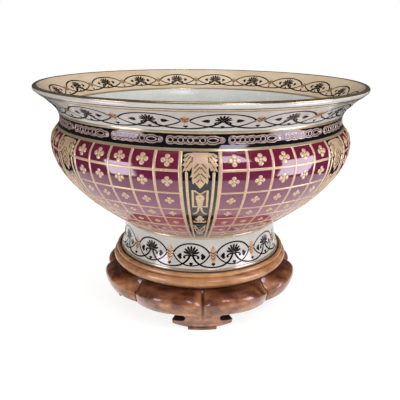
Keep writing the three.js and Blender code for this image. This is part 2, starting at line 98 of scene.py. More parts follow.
# %% [markdown]
# ## The outline of the bowl
# A potter shapes such a bowl with a template, so a few curves describe it: the belly up to its widest place,
# the shoulder in to the neck, and the flare out to the rolled lip. The same sizes as in the solid model are
# used here with many more steps, because glaze shows every facet.

# %% Curves for outlines
SAME_POINT = 1e-4


def curve(start, start_handle, end_handle, end, steps):
    """Points of a cubic curve between two ends, given with its two handles."""
    points = []
    for step in range(steps + 1):
        t = step / steps
        weights = ((1 - t) ** 3, 3 * (1 - t) ** 2 * t, 3 * (1 - t) * t * t, t ** 3)
        corners = (start, start_handle, end_handle, end)
        points.append(tuple(sum(w * c[axis] for w, c in zip(weights, corners)) for axis in (0, 1)))
    return points


def arc(centre, half_width, half_height, start_angle, end_angle, steps):
    points = []
    for step in range(steps + 1):
        angle = math.radians(start_angle + (end_angle - start_angle) * step / steps)
        points.append((centre[0] + half_width * math.cos(angle), centre[1] + half_height * math.sin(angle)))
    return points


def joined(*runs):
    """Runs of points as one, without the points that two runs share."""
    points = []
    for run in runs:
        for point in run:
            if not points or math.dist(points[-1], point) > SAME_POINT:
                points.append(point)
    return points


# %% Outside of the bowl
BOWL_LEVEL = 102
BASE_EDGE = (89.6, 103)
BELLY = (163.4, 191)
NECK = (153, 217.5)
LIP_CENTRE = (175.6, 248.3)
LIP_ROLL = 2.8


def bowl_outside():
    underside = (LIP_CENTRE[0] + LIP_ROLL * 0.3, LIP_CENTRE[1] - LIP_ROLL)
    rise = BELLY[1] - BOWL_LEVEL
    spread = BELLY[0] - BASE_EDGE[0]
    shoulder = NECK[1] - BELLY[1]
    flare = (underside[0] - NECK[0], LIP_CENTRE[1] - NECK[1])
    off_base = (BASE_EDGE[0] + spread * 0.43, BASE_EDGE[1] + rise * 0.235)
    below_belly = (BELLY[0], BELLY[1] - rise * 0.38)
    above_belly = (BELLY[0], BELLY[1] + shoulder * 0.55)
    below_neck = (NECK[0], NECK[1] - shoulder * 0.5)
    above_neck = (NECK[0], NECK[1] + flare[1] * 0.32)
    below_lip = (underside[0] - flare[0] * 0.48, underside[1] - flare[1] * 0.27)
    return joined(
        curve(BASE_EDGE, off_base, below_belly, BELLY, 46),
        curve(BELLY, above_belly, below_neck, NECK, 16),
        curve(NECK, above_neck, below_lip, underside, 18),
    )


outside_outline = bowl_outside()
print("outside of the bowl:", len(outside_outline), "points")

# %% [markdown]
# ## Walls that can be measured along
# All the decoration follows the porcelain, which curves both ways. So each side of the wall becomes a ruler:
# a bearing round the bowl, and a length in millimetres along the outline. A motif is drawn flat, in
# millimetres, and the wall lays it down. The other way, painting with an image, would give no relief.
# Bearings on the bowl count from its front pilaster, which is turned a little to the left.


# %% Flat directions, and points between two others
def direction(start, end):
    """Direction from one flat point to another, of length 1."""
    return Vector((end[0] - start[0], end[1] - start[1])).normalized()


def part_way(start, end, share):
    return tuple(start[axis] + (end[axis] - start[axis]) * share for axis in (0, 1))


# %% A wall of the porcelain
DECOR_TURN = -2.2


class Wall:
    """One side of the porcelain, as an outline that runs upwards. side is 1 outside and -1 inside."""

    def __init__(self, outline, side):
        self.outline = outline
        self.side = side
        self.lengths = [0]
        for before, after in zip(outline, outline[1:]):
            self.lengths.append(self.lengths[-1] + math.dist(before, after))

    def length_at(self, height):
        for index in range(len(self.outline) - 1):
            low, high = self.outline[index][1], self.outline[index + 1][1]
            if low <= height <= high:
                share = (height - low) / (high - low)
                return self.lengths[index] + share * (self.lengths[index + 1] - self.lengths[index])
        return self.lengths[-1] if height > self.outline[-1][1] else 0

    def section_at(self, length):
        """Radius, height and outward direction at a length along the outline."""
        length = min(max(length, 0), self.lengths[-1])
        index = 0
        while index < len(self.lengths) - 2 and self.lengths[index + 1] < length:
            index += 1
        share = (length - self.lengths[index]) / (self.lengths[index + 1] - self.lengths[index])
        point = part_way(self.outline[index], self.outline[index + 1], share)
        last = len(self.outline) - 1
        along = direction(self.outline[max(index - 1, 0)], self.outline[min(index + 2, last)])
        return point, (along.y * self.side, -along.x * self.side)

    def place(self, angle, length, lift):
        point, outward = self.section_at(length)
        return around(angle + DECOR_TURN, point[0] + outward[0] * lift, point[1] + outward[1] * lift)

    def radius_at(self, height):
        return self.section_at(self.length_at(height))[0][0]


# %% Both sides of the bowl's wall, and the foot
FOOT_CURVE = ((92.4, 65.5), (86.8, 76.45), (85.4, 89.96), (88.4, 102))
BOWL_WALL = 5
FLOOR_LEVEL = 109
ROUNDED_CORNER = 4.2
ROLL_START, ROLL_END = -40, 130


def moved_inwards(points, distance):
    moved = []
    for index, point in enumerate(points):
        along = direction(points[max(index - 1, 0)], points[min(index + 1, len(points) - 1)])
        moved.append((point[0] - along.y * distance, point[1] + along.x * distance))
    return moved


def foot_outside():
    return curve(*FOOT_CURVE, 22)


roll_outline = arc(LIP_CENTRE, LIP_ROLL, LIP_ROLL, ROLL_START, ROLL_END, 12)
wall_low = FLOOR_LEVEL + ROUNDED_CORNER
wall_top = LIP_CENTRE[1] - LIP_ROLL * 0.4
inside_outline = moved_inwards(outside_outline, BOWL_WALL)
inside_outline = [point for point in inside_outline if wall_low < point[1] < wall_top]
outside = Wall(outside_outline, 1)
inside = Wall(joined(inside_outline, roll_outline[::-1][:4]), -1)
foot = Wall(foot_outside(), 1)
print("outside wall is", round(outside.lengths[-1], 1), "mm along its outline")

# %% [markdown]
# ## Finishes
# Glaze, gold and wood each have a small recipe of nodes: a few tones mixed by noise for the colour, a noise
# for the gloss, and a fine bump. Colours are written as they look in the photograph, from 0 to 255.


# %% Colours
def colour(red, green, blue):
    """Colour from the numbers of a picture, turned into the linear numbers that a shader takes."""
    def linear(value):
        share = value / 255
        return share / 12.92 if share <= 0.04045 else ((share + 0.055) / 1.055) ** 2.4
    return (linear(red), linear(green), linear(blue), 1)


WHITE = (1, 1, 1, 1)
print("a mid grey of 128 is", round(colour(128, 128, 128)[0], 3), "to a shader")


# %% Recipes of nodes
GRAIN_START, GRAIN_END = 0.3, 0.7


class Recipe:
    """The nodes of a material or a world, with short ways to add them and to join them."""

    def __init__(self, owner):
        owner.use_nodes = True
        self.owner = owner
        self.nodes = owner.node_tree.nodes
        self.links = owner.node_tree.links

    def fill(self, node, values):
        """Sets sockets of a node, or links them where the value is the output of another node."""
        for socket, value in values.items():
            if isinstance(value, bpy.types.NodeSocket):
                self.links.new(value, node.inputs[socket])
            else:
                node.inputs[socket].default_value = value
        return node

    def add(self, kind, values):
        return self.fill(self.nodes.new("ShaderNode" + kind), values)

    def shade(self, values):
        self.fill(self.nodes["Principled BSDF"], values)

    def arithmetic(self, operation, first, second=0):
        node = self.add("Math", {0: first, 1: second})
        node.operation = operation
        return node.outputs[0]

    def place(self):
        return self.add("TexCoord", {}).outputs["Object"]

    def along(self, axis):
        """Distance along an axis of the frame, in metres."""
        return self.add("SeparateXYZ", {0: self.place()}).outputs[axis]

    def noise(self, scale, detail, stretch=(1, 1, 1), turn=0):
        rotation = (0, 0, math.radians(turn))
        mapped = self.add("Mapping", {"Vector": self.place(), "Scale": stretch, "Rotation": rotation})
        noisy = self.add("TexNoise", {"Vector": mapped.outputs[0], "Scale": scale, "Detail": detail})
        return noisy.outputs["Fac"]

    def between(self, factor, low, high, start=GRAIN_START, end=GRAIN_END):
        """Number that goes from low to high while the factor goes from start to end."""
        limits = {"From Min": start, "From Max": end, "To Min": low, "To Max": high}
        return self.add("MapRange", {"Value": factor, **limits}).outputs["Result"]

    def tones(self, factor, stops):
        """Colours along a ramp, given as pairs of a place and a colour."""
        ramp = self.add("ValToRGB", {"Fac": factor})
        elements = ramp.color_ramp.elements
        stops = list(stops)
        while len(elements) < len(stops):
            elements.new(0.5)
        for element, (position, tone) in zip(elements, stops):
            element.position = position
            element.color = tone
        return ramp.outputs["Color"]

    def by_height(self, levels, uneven=None):
        """Tones along the height, given as pairs of millimetres and a colour."""
        low, high = levels[0][0], levels[-1][0]
        height = self.between(self.along("Z"), 0, 1, low * MM, high * MM)
        if uneven is not None:
            height = self.arithmetic("ADD", height, uneven)
        return self.tones(height, [((level - low) / (high - low), tone) for level, tone in levels])

    def bump(self, height, distance):
        rough = self.add("Bump", {"Height": height, "Strength": 0.6, "Distance": distance * MM})
        self.shade({"Normal": rough.outputs["Normal"]})


def new_recipe(name):
    return Recipe(bpy.data.materials.new(name))


# %% Glaze and gold
TONE_STOPS = (0.36, 0.68)
LEVEL_UNEVEN = 0.07


def glazed(recipe, paint, gloss, ior, shine):
    """Glossy skin over a painted ground. It is very slightly uneven."""
    worn = recipe.between(recipe.noise(scale=150, detail=5), *gloss)
    recipe.shade({"Base Color": paint, "Roughness": worn, "IOR": ior, "Specular IOR Level": shine})
    recipe.bump(recipe.noise(scale=90, detail=1), distance=0.12)
    return recipe.owner


def glaze(name, main, thin, gloss=(0.05, 0.14), ior=1.6, shine=0.5):
    """Glaze of one colour, which pools and thins."""
    recipe = new_recipe(name)
    paint = recipe.tones(recipe.noise(scale=38, detail=4), zip(TONE_STOPS, (main, thin)))
    return glazed(recipe, paint, gloss, ior, shine)


def glaze_with_painted_reflection(name, levels, gloss, ior):
    """Coloured glaze painted lighter and mauve towards the foot, as a painted reflection of the white floor.
    """
    recipe = new_recipe(name)
    uneven = recipe.between(recipe.noise(scale=45, detail=4), -LEVEL_UNEVEN, LEVEL_UNEVEN)
    return glazed(recipe, recipe.by_height(levels, uneven), gloss, ior, 0.5)


def gold(name, main, worn, metal, gloss):
    """Fired gold: burnished in places, thin and matt where it has been handled."""
    recipe = new_recipe(name)
    rubbed = recipe.noise(scale=110, detail=3)
    paint = recipe.tones(rubbed, zip(TONE_STOPS, (main, worn)))
    roughness = recipe.between(rubbed, *gloss)
    recipe.shade({"Base Color": paint, "Roughness": roughness, "Metallic": metal, "IOR": 1.6})
    recipe.bump(recipe.noise(scale=300, detail=2), distance=0.04)
    return recipe.owner


# %% Porcelain and gold
white_glaze = glaze("white_glaze", colour(224, 219, 212), colour(214, 209, 205))
cream_glaze = glaze("cream_glaze", colour(220, 195, 164), colour(228, 208, 182))
inner_glaze = glaze("inner_glaze", colour(226, 227, 222), colour(218, 219, 215), (0.2, 0.3))
# The burgundy is painted lighter and mauve towards the foot: a painted reflection of the white floor on the
# lower belly.
BURGUNDY_AND_REFLECTION_LEVELS = (
    (104, colour(182, 112, 112)),
    (134, colour(162, 84, 102)),
    (160, colour(136, 64, 98)),
    (184, colour(114, 34, 70)),
    (206, colour(116, 26, 54)),
)
burgundy_glaze = glaze_with_painted_reflection("burgundy_glaze", BURGUNDY_AND_REFLECTION_LEVELS, (0.05, 0.12), 1.75)
black_glaze = glaze("black_glaze", colour(13, 12, 15), colour(22, 20, 24), (0.04, 0.1), 1.62)
ink = glaze("black_drawing", colour(10, 9, 10), colour(24, 20, 20), (0.1, 0.22), 1.45, 0.2)
flare_ink = glaze("brown_black_drawing", colour(34, 28, 24), colour(58, 46, 38), (0.1, 0.22), 1.45, 0.25)
brown_ink = glaze("brown_drawing", colour(84, 50, 28), colour(106, 70, 44), (0.2, 0.32), 1.5, 0.3)
vein_ink = glaze("vein_drawing", colour(106, 80, 46), colour(128, 100, 64), (0.2, 0.3), 1.5, 0.3)
red_glaze = glaze("red_brown_glaze", colour(96, 58, 50), colour(116, 74, 62), (0.08, 0.16), 1.6)
line_gold = gold("burnished_gold", colour(212, 192, 160), colour(194, 170, 138), 0.5, (0.16, 0.28))
lip_gold = gold("lip_gold", colour(232, 208, 166), colour(212, 184, 142), 0.9, (0.1, 0.2))
raised_gold = gold("raised_gold", colour(226, 198, 158), colour(218, 180, 156), 0.22, (0.26, 0.42))
ear_gold = gold("ear_gold", colour(222, 180, 134), colour(204, 158, 118), 0.25, (0.24, 0.38))
pale_gold = gold("pale_gold", colour(206, 182, 172), colour(180, 152, 148), 0.3, (0.22, 0.36))
print("porcelain finishes:", white_glaze.name, cream_glaze.name, burgundy_glaze.name, black_glaze.name)

# %% [markdown]
# ## The bowl
# The real bowl is thrown or moulded in one piece, so it is one turned mesh here too. The grounds (white
# neck, black band, burgundy belly, black pilasters, cream flare) meet under gold lines, so each is given to
# the faces of its own zone. The step round the bowl is one degree, so a pilaster's edges fall between faces.


# %% New pieces
def meshed(name, points, faces, finishes):
    mesh = bpy.data.meshes.new(name)
    mesh.from_pydata(points, [], faces)
    for finish in finishes:
        mesh.materials.append(finish)
    return in_scene(name, mesh)


def new_piece(name, points, faces, finishes, body):
    piece = meshed(name, points, faces, finishes)
    piece.data.shade_smooth()
    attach(piece, body)
    return piece


# %% Turning an outline into a mesh
def turned(outline, steps, closed):
    """Points and faces of an outline turned once round the axis. Points on the axis aren't repeated."""
    points, rows = [], []
    for radius, height in outline:
        if radius < SAME_POINT:
            rows.append([len(points)] * steps)
            points.append(Vector((0, 0, height)) * MM)
            continue
        rows.append([len(points) + step for step in range(steps)])
        points.extend(around(DECOR_TURN + 360 * step / steps, radius, height) for step in range(steps))
    if closed:
        rows.append(rows[0])
    faces = []
    for low, high in zip(rows, rows[1:]):
        for step in range(steps):
            after = (step + 1) % steps
            corners = [low[step], low[after], high[after], high[step]]
            faces.append(tuple(dict.fromkeys(corners)))
    return points, faces


# %% Points where the ground changes
LEVEL_GAP = 0.05


def with_levels(outline, levels):
    """The outline with a point at each of the levels."""
    points = list(outline)
    for level in levels:
        for index in range(len(points) - 1):
            low, high = points[index], points[index + 1]
            if low[1] + LEVEL_GAP < level < high[1] - LEVEL_GAP:
                points.insert(index + 1, part_way(low, high, (level - low[1]) / (high[1] - low[1])))
                break
    return points


# %% Outline of the whole bowl, from the base up and over the lip
GRID_TOP = 208
BAND_TOP = 222.5
NECK_TOP = 245.3
FLARE_BOTTOM = 227.5
WELL_BEND, WELL_FLAT = 0.86, 0.5
UNDER_MIDDLE, BASE_ROUND = 40, 1
outer = with_levels(outside_outline, [GRID_TOP, BAND_TOP, NECK_TOP])
flare = [point for point in inside_outline if point[1] > FLARE_BOTTOM][::-1]
well = [point for point in inside_outline if point[1] <= FLARE_BOTTOM][::-1]
bend, flat = ((well[-1][0] * share, FLOOR_LEVEL) for share in (WELL_BEND, WELL_FLAT))
well_floor = curve(well[-1], bend, flat, (0, FLOOR_LEVEL), 14)
under = [(radius, BOWL_LEVEL) for radius in (0, UNDER_MIDDLE, BASE_EDGE[0] - BASE_ROUND)]
bowl_outline = joined(under, outer, roll_outline, flare, well, well_floor)
print("outline of the whole bowl:", len(bowl_outline), "points")


# %% Ground of each zone
ROUND_STEPS = 360
PILASTERS = (0, 54, 105, 156, 207, 257, 308)
PILASTER_FIELD = 6


def outer_ground(height):
    if height < GRID_TOP:
        return "burgundy"
    if height < BAND_TOP:
        return "black"
    return "white"


def bowl_ground(index):
    """Ground of the ring of faces that starts at a point of the outline."""
    first, second = bowl_outline[index], bowl_outline[index + 1]
    if index < len(under):
        return "white"
    if index < len(under) + len(outer) - 1:
        return outer_ground((first[1] + second[1]) / 2)
    if index < len(under) + len(outer) + len(roll_outline) - 2:
        return "white"
    return "cream" if second[1] > FLARE_BOTTOM else "inner"


def on_pilaster(step):
    angle = (step + 0.5) * 360 / ROUND_STEPS
    return any(abs((angle - centre + 180) % 360 - 180) < PILASTER_FIELD for centre in PILASTERS)


# %% Bowl with its grounds
grounds = {
    "white": white_glaze,
    "burgundy": burgundy_glaze,
    "black": black_glaze,
    "cream": cream_glaze,
    "inner": inner_glaze,
}
points, faces = turned(bowl_outline, ROUND_STEPS, False)
bowl_piece = new_piece("bowl_porcelain", points, faces, grounds.values(), "bowl")
ground_names = list(grounds)
for number, face in enumerate(bowl_piece.data.polygons):
    ring, step = divmod(number, ROUND_STEPS)
    ground = bowl_ground(ring)
    if ground == "burgundy" and on_pilaster(step):
        ground = "black"
    face.material_index = ground_names.index(ground)
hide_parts("bowl_body")
print("bowl:", len(faces), "faces")

# %% [markdown]
# ## The foot ring
# The foot is made apart and luted on. It is white, and it stands on an unglazed rim, painted dark brown:
# partly its bare clay, partly painted shade in the gap above the ring. It is a turned mesh again, with small
# rounded edges at the rim.

# %% Foot ring
SEAT_LEVEL = 60
RIM_LEVEL = 65.5
RIM_INSIDE, RIM_OUTSIDE, RIM_ROUND = 86.4, 91.4, 1
FOOT_WALL = 7
# Dark brown for the unglazed rim: partly its bare clay, partly painted shade in the gap above the ring.
bare_rim_and_shade = glaze("bare_rim_and_shade", colour(104, 84, 64), colour(70, 54, 42), (0.5, 0.7), 1.5)
foot_inner = moved_inwards(foot_outside(), FOOT_WALL)[::-1]
foot_inner[0] = (foot_inner[0][0], BOWL_LEVEL)
foot_outline = joined(
    [(RIM_INSIDE, SEAT_LEVEL), (RIM_OUTSIDE, SEAT_LEVEL)],
    arc((RIM_OUTSIDE, SEAT_LEVEL + RIM_ROUND), RIM_ROUND, RIM_ROUND, -90, 0, 4),
    foot_outside(),
    foot_inner,
    arc((RIM_INSIDE, SEAT_LEVEL + RIM_ROUND), RIM_ROUND, RIM_ROUND, 180, 270, 4)[:-1],
)
points, faces = turned(foot_outline, ROUND_STEPS, True)
foot_piece = new_piece("bowl_foot_porcelain", points, faces, [white_glaze, bare_rim_and_shade], "bowl")
# Faces under the rim level take the dark rim finish, partly painted shade.
for face in foot_piece.data.polygons:
    if face.center.z < RIM_LEVEL * MM:
        face.material_index = 1
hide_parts("bowl_foot_ring")
print("foot ring:", len(faces), "faces")

# %% [markdown]
# ## Tools for the decoration
# A decorator has two tools: a liner brush that pulls lines, and a pointed brush that sets down drops and
# leaves. `line` and `pad` are these two. Both give a low raised form, because paint and paste gold stand
# proud of glaze. The strokes of one finish in a frieze are gathered into one mesh, which keeps the scene
# light.


# %% Close enough steps for a curved wall
STROKE_STEP = 2.5
PAD_SHOULDER = 0.84
SUNK_EDGE = -0.15
DOME = ((-1, SUNK_EDGE), (-0.6, 0.8), (0, 1), (0.6, 0.8), (1, SUNK_EDGE))


def split_long(outline, longest):
    """Closed outline with points added along the edges that are longer than a step."""
    points = []
    for start, end in zip(outline, outline[1:] + outline[:1]):
        count = max(1, math.ceil(math.dist(start, end) / longest))
        points.extend(part_way(start, end, number / count) for number in range(count))
    return points


def turns_left(outline):
    return sum(a[0] * b[1] - b[0] * a[1] for a, b in zip(outline, outline[1:] + outline[:1])) > 0


def pad_rings(outline, middle):
    """How far out and how high each ring of a pad lies, as shares of its reach and its lift."""
    farthest = max(math.dist(point, middle) for point in outline)
    count = max(2, math.ceil(farthest / STROKE_STEP))
    shares = [number / count for number in range(count)]
    return [(1, SUNK_EDGE)] + [(PAD_SHOULDER * (1 - share), 0.7 + 0.3 * share) for share in shares]


# %% Brush strokes on a wall
class Strokes:
    """Raised lines and pads laid on a wall of the porcelain."""

    def __init__(self, name, wall, finish, lift):
        self.name = name
        self.wall = wall
        self.finish = finish
        self.lift = lift
        self.points = []
        self.faces = []

    def at(self, spot, point, lift):
        angle, height = spot
        length = self.wall.length_at(height) + point[1]
        turn = math.degrees(point[0] / self.wall.radius_at(height))
        return self.wall.place(angle + turn, length, lift)

    def line(self, spot, path, width, end_width=None, closed=False):
        """A line along a path of flat points in millimetres round the spot, domed across its width."""
        end_width = width if end_width is None else end_width
        count = len(path)
        first = len(self.points)
        for index, point in enumerate(path):
            before = path[(index - 1) % count if closed else max(index - 1, 0)]
            after = path[(index + 1) % count if closed else min(index + 1, count - 1)]
            along = direction(before, after)
            half = (width + (end_width - width) * index / max(count - 1, 1)) / 2
            for across, share in DOME:
                offset = (point[0] - along.y * half * across, point[1] + along.x * half * across)
                self.points.append(self.at(spot, offset, self.lift * share))
        for index in range(count if closed else count - 1):
            near = first + index * len(DOME)
            far = first + (index + 1) % count * len(DOME)
            for lane in range(len(DOME) - 1):
                corners = (near + lane, near + lane + 1, far + lane + 1, far + lane)
                self.faces.append(corners if self.wall.side < 0 else corners[::-1])

    def pad(self, spot, outline, height=1):
        """A domed pad inside a closed outline that can be seen whole from its middle."""
        outline = split_long(outline, STROKE_STEP)
        count = len(outline)
        middle = tuple(sum(point[axis] for point in outline) / count for axis in (0, 1))
        rings = pad_rings(outline, middle)
        first = len(self.points)
        for reach, share in rings:
            for point in outline:
                lift = self.lift * share * (height if share > 0 else 1)
                self.points.append(self.at(spot, part_way(middle, point, reach), lift))
        self.points.append(self.at(spot, middle, self.lift * height))
        top = len(self.points) - 1
        last = top - count
        outwards = turns_left(outline) == (self.wall.side > 0)
        for index in range(count):
            after = (index + 1) % count
            for low in range(first, last, count):
                corners = (low + index, low + after, low + count + after, low + count + index)
                self.faces.append(corners if outwards else corners[::-1])
            tip = (last + index, last + after, top)
            self.faces.append(tip if outwards else tip[::-1])

    def finished(self, slot="bowl_glaze"):
        new_piece(self.name, self.points, self.faces, [self.finish], "bowl")
        print(self.name, len(self.faces), "faces")


# %% Outlines of single strokes
def turned_by(points, angle, centre=(0, 0)):
    turn = math.radians(angle)
    right, up = math.cos(turn), math.sin(turn)
    return [(centre[0] + x * right - y * up, centre[1] + x * up + y * right) for x, y in points]


def both_sides(points):
    """Whole outline from its right half, which starts and ends on the middle line."""
    return list(points) + [(-x, y) for x, y in points[-2:0:-1]]


def drop(base, length, width, angle):
    """Teardrop with its point at the base and its round end outwards. Angle 0 points up."""
    widest = (width * 0.45, length * 0.85)
    side = curve((0, 0), (width * 0.2, length * 0.3), (width * 0.62, length * 0.62), widest, 5)
    cap = curve(widest, (width * 0.3, length * 1.03), (width * 0.1, length), (0, length), 3)
    return turned_by(both_sides(joined(side, cap)), angle, base)


def leaf(base, length, width, angle):
    """Leaf that is pointed at both ends."""
    right = curve((0, 0), (width * 0.62, length * 0.25), (width * 0.62, length * 0.62), (0, length), 7)
    return turned_by(both_sides(right), angle, base)


def heart(tip, size, angle, breadth):
    """Heart-shaped leaf with its point at the tip. breadth is a share of its length."""
    wide = size * breadth
    widest = (wide * 0.52, size * 0.8)
    side = curve((0, 0), (wide * 0.2, size * 0.3), (wide * 0.6, size * 0.5), widest, 5)
    cap = curve(widest, (wide * 0.42, size * 1.05), (wide * 0.1, size * 1.05), (0, size * 0.9), 4)
    return turned_by(both_sides(joined(side, cap)), angle, tip)


def disc(centre, half_width, half_height=None, steps=10):
    return arc(centre, half_width, half_height or half_width, 0, 360, steps)[:-1]


# %% [markdown]
# ## The drawn friezes
# The neck, the foot and the inner flare carry the same frieze at three sizes: linked pointed ovals, each
# with a palmette, and between them a gilt ear of wheat. Each is drawn once as one repeat, then stepped
# round. Repeats are counted from the photograph: 16 on the neck, 12 on the foot and 19 inside.


# %% Palmette
PALMETTE_ANGLES = (-72, -48, -24, 0, 24, 48, 72)
PALMETTE_LOBE = 0.26
SCROLL = curve((0, -0.1), (0.3, -0.04), (0.66, -0.06), (0.82, -0.3), 7)


def palmette(strokes, spot, base, size):
    """Fan of seven slim lobes on a stem, with a curled scroll at each side."""
    x, y = base
    for angle in PALMETTE_ANGLES:
        length = size * (1 - 0.1 * (angle / PALMETTE_ANGLES[-1]) ** 2)
        strokes.pad(spot, drop(base, length, size * PALMETTE_LOBE, angle))
    for side in (-1, 1):
        scroll = [(x + side * across * size, y + up * size) for across, up in SCROLL]
        strokes.line(spot, scroll, size * 0.2, size * 0.16)
        strokes.pad(spot, disc((x + side * size * 0.74, y - size * 0.34), size * 0.15))


# %% Ovals and swags
def ovals(strokes, spot, period, sizes):
    """Pointed oval of one repeat, and the swag under the ear of wheat, which ends as palmettes' stems."""
    rise, fall, width, base = (sizes[key] for key in ("rise", "fall", "line", "base"))
    gap = sizes["ear"]["width"] * 0.55
    for level, inset, reach, share in ((0.5, 0.24, rise * 1.33, 1), (-0.5, 0.25, -fall * 1.17, 0.8)):
        first, second = (period * inset, reach), (period * (1 - inset), reach)
        strokes.line(spot, curve((gap, level), first, second, (period - gap, level), 24), width * share)
    half = period / 2
    for side in (-1, 1):
        top, low = (side * half * 0.86, -fall * 0.65), (side * half * 0.5, -fall * 1.02)
        swag = curve((side * (half - 0.7 * width), base), top, low, (0, -fall), 20)
        strokes.line(spot, swag, width * 1.3, width * 0.8)


# %% Ear of wheat
def wheat_ear(gilding, lines, spot, ear):
    """Pointed grain on a stack of chevrons, each parted from the next by a brown line."""
    height, half, crown = ear["height"], ear["width"] / 2, ear["crown"]
    top = ear["rise"] + height * 0.5
    shoulder = top - height * crown * 0.6
    gilding.pad(spot, [(0, top), (-half, shoulder), (0, top - height * crown), (half, shoulder)])
    step = height * (1 - crown) * 0.8 / ear["chevrons"]
    for number in range(ear["chevrons"]):
        low = top - height * crown - step * (number + 0.9)
        reach = half * (1 - 0.35 * number / ear["chevrons"])
        for strokes, raised, width in ((gilding, 0, step * 0.9), (lines, step * 0.5, 1)):
            tips = low + raised + reach * 0.8
            strokes.line(spot, [(-reach, tips), (0, low + raised), (reach, tips)], width)
    gilding.pad(spot, leaf((0, top - height), step * 1.2, half * 0.9, 0))


# %% Whole frieze
DRAWING_LIFT, EAR_LIFT, EAR_LINE_LIFT = 0.08, 0.4, 0.6


def frieze(name, wall, finish, height, count, phase, sizes):
    """Palmettes, ovals and gilt ears in count repeats. phase is the bearing of one ear of wheat."""
    drawing = Strokes(name + "_drawing", wall, finish, DRAWING_LIFT)
    gilding = Strokes(name + "_gilding", wall, ear_gold, EAR_LIFT)
    lines = Strokes(name + "_ear_lines", wall, brown_ink, EAR_LINE_LIFT)
    period = 2 * math.pi * wall.radius_at(height) / count
    fall, base = sizes["fall"], sizes["base"]
    length, breadth, distance, heart_rise = sizes["side_heart"]
    for number in range(count):
        spot = (phase + 360 * number / count, height)
        ovals(drawing, spot, period, sizes)
        palmette(drawing, spot, (period / 2, base), sizes["palmette"])
        drawing.pad(spot, heart((period / 2, -fall * 0.9), *sizes["low_heart"]))
        drawing.pad(spot, heart((0, -fall * 0.93), *sizes["ear_heart"]))
        for side in (-1, 1):
            drawing.pad(spot, heart((period / 2 + side * distance, heart_rise), length, side * 90, breadth))
        wheat_ear(gilding, lines, spot, sizes["ear"])
    return drawing, gilding, lines


# %% [markdown]
# The three friezes differ in their sizes, in millimetres. `rise` and `fall` are how far the ovals reach
# above and below their middle line. A side heart is given by its length, its breadth, and how far out and
# how high it lies from the palmette. The other hearts are given by their length, angle and breadth.

# %% Neck, foot and inner flare
NECK_LEVEL, NECK_REPEATS, NECK_EAR_BEARING = 233.6, 16, -4.6
FOOT_FRIEZE_LEVEL, FOOT_REPEATS, FOOT_EAR_BEARING = 82.5, 12, 9.4
FLARE_LEVEL, FLARE_REPEATS, FLARE_PALMETTE_BEARING = 238.4, 19, 267.8
NECK_SIZES = {
    "rise": 10, "fall": 9.6, "line": 1.9, "base": -0.6, "palmette": 8.6,
    "side_heart": (8, 0.56, 19, 0), "low_heart": (2.4, 0, 1.6), "ear_heart": (3.1, 0, 1.4),
    "ear": {"height": 11.6, "width": 6.8, "rise": 2.2, "crown": 0.5, "chevrons": 2},
}
FOOT_SIZES = {
    "rise": 11.6, "fall": 13.8, "line": 1.9, "base": -0.3, "palmette": 9.8,
    "side_heart": (5.4, 1.2, 15.4, -2.6), "low_heart": (3.8, 0, 1.05), "ear_heart": (3.6, 0, 1.1),
    "ear": {"height": 19, "width": 6.4, "rise": 0, "crown": 0.42, "chevrons": 3},
}
FLARE_SIZES = {
    "rise": 9.4, "fall": 9, "line": 2, "base": -1.2, "palmette": 9.4,
    "side_heart": (4.8, 1, 14.4, 0), "low_heart": (2.6, 0, 1.1), "ear_heart": (2.6, 0, 1.2),
    "ear": {"height": 10, "width": 5.5, "rise": 0, "crown": 0.5, "chevrons": 2},
}
for part in frieze("neck", outside, ink, NECK_LEVEL, NECK_REPEATS, NECK_EAR_BEARING, NECK_SIZES):
    part.finished()
for part in frieze("foot", foot, ink, FOOT_FRIEZE_LEVEL, FOOT_REPEATS, FOOT_EAR_BEARING, FOOT_SIZES):
    part.finished(slot="foot_glaze")
flare_ear_bearing = FLARE_PALMETTE_BEARING + 180 / FLARE_REPEATS
for part in frieze("flare", inside, flare_ink, FLARE_LEVEL, FLARE_REPEATS, flare_ear_bearing, FLARE_SIZES):
    part.finished()

# %% [markdown]
# ## Gold lines
# A gilder pulls these on a banding wheel, so they are perfectly even rings. Each is a low domed band between
# two heights of the wall. They also hide the joints between two grounds, as they do on the real bowl.


# %% Rings round the bowl
LINE_LIFT, DARK_LINE_LIFT = 0.3, 0.12
GOLD_LINES = ((103.2, 104.9), (206.8, 209.3), (221.2, 224), (242.4, 244.7))
LIP_LINES = ((244.75, 245.6),)
FOOT_LINES = ((65.6, 67.9), (99.4, 101.9))
FLARE_LINES = ((226.3, 228.6),)


def ring_line(strokes, low, high):
    wall = strokes.wall
    start, end = wall.length_at(low), wall.length_at(high)
    first = len(strokes.points)
    for step in range(ROUND_STEPS):
        for across, share in DOME:
            length = start + (end - start) * (across + 1) / 2
            strokes.points.append(wall.place(360 * step / ROUND_STEPS, length, strokes.lift * share))
    for step in range(ROUND_STEPS):
        near = first + step * len(DOME)
        far = first + (step + 1) % ROUND_STEPS * len(DOME)
        for lane in range(len(DOME) - 1):
            corners = (near + lane, far + lane, far + lane + 1, near + lane + 1)
            strokes.faces.append(corners if wall.side > 0 else corners[::-1])


def ring_lines(name, wall, finish, lift, lines, slot="bowl_glaze"):
    strokes = Strokes(name, wall, finish, lift)
    for low, high in lines:
        ring_line(strokes, low, high)
    strokes.finished(slot=slot)


ring_lines("bowl_gold_lines", outside, line_gold, LINE_LIFT, GOLD_LINES)
ring_lines("lip_dark_line", outside, ink, DARK_LINE_LIFT, LIP_LINES)
ring_lines("foot_gold_lines", foot, line_gold, LINE_LIFT, FOOT_LINES, "foot_glaze")
ring_lines("flare_gold_line", inside, line_gold, LINE_LIFT, FLARE_LINES)

# %% [markdown]
# The lip itself is gilt. It is the place that hands touch, so a separate thin sleeve over the roll takes the
# burnished finish, and the white glaze shows again outside it.

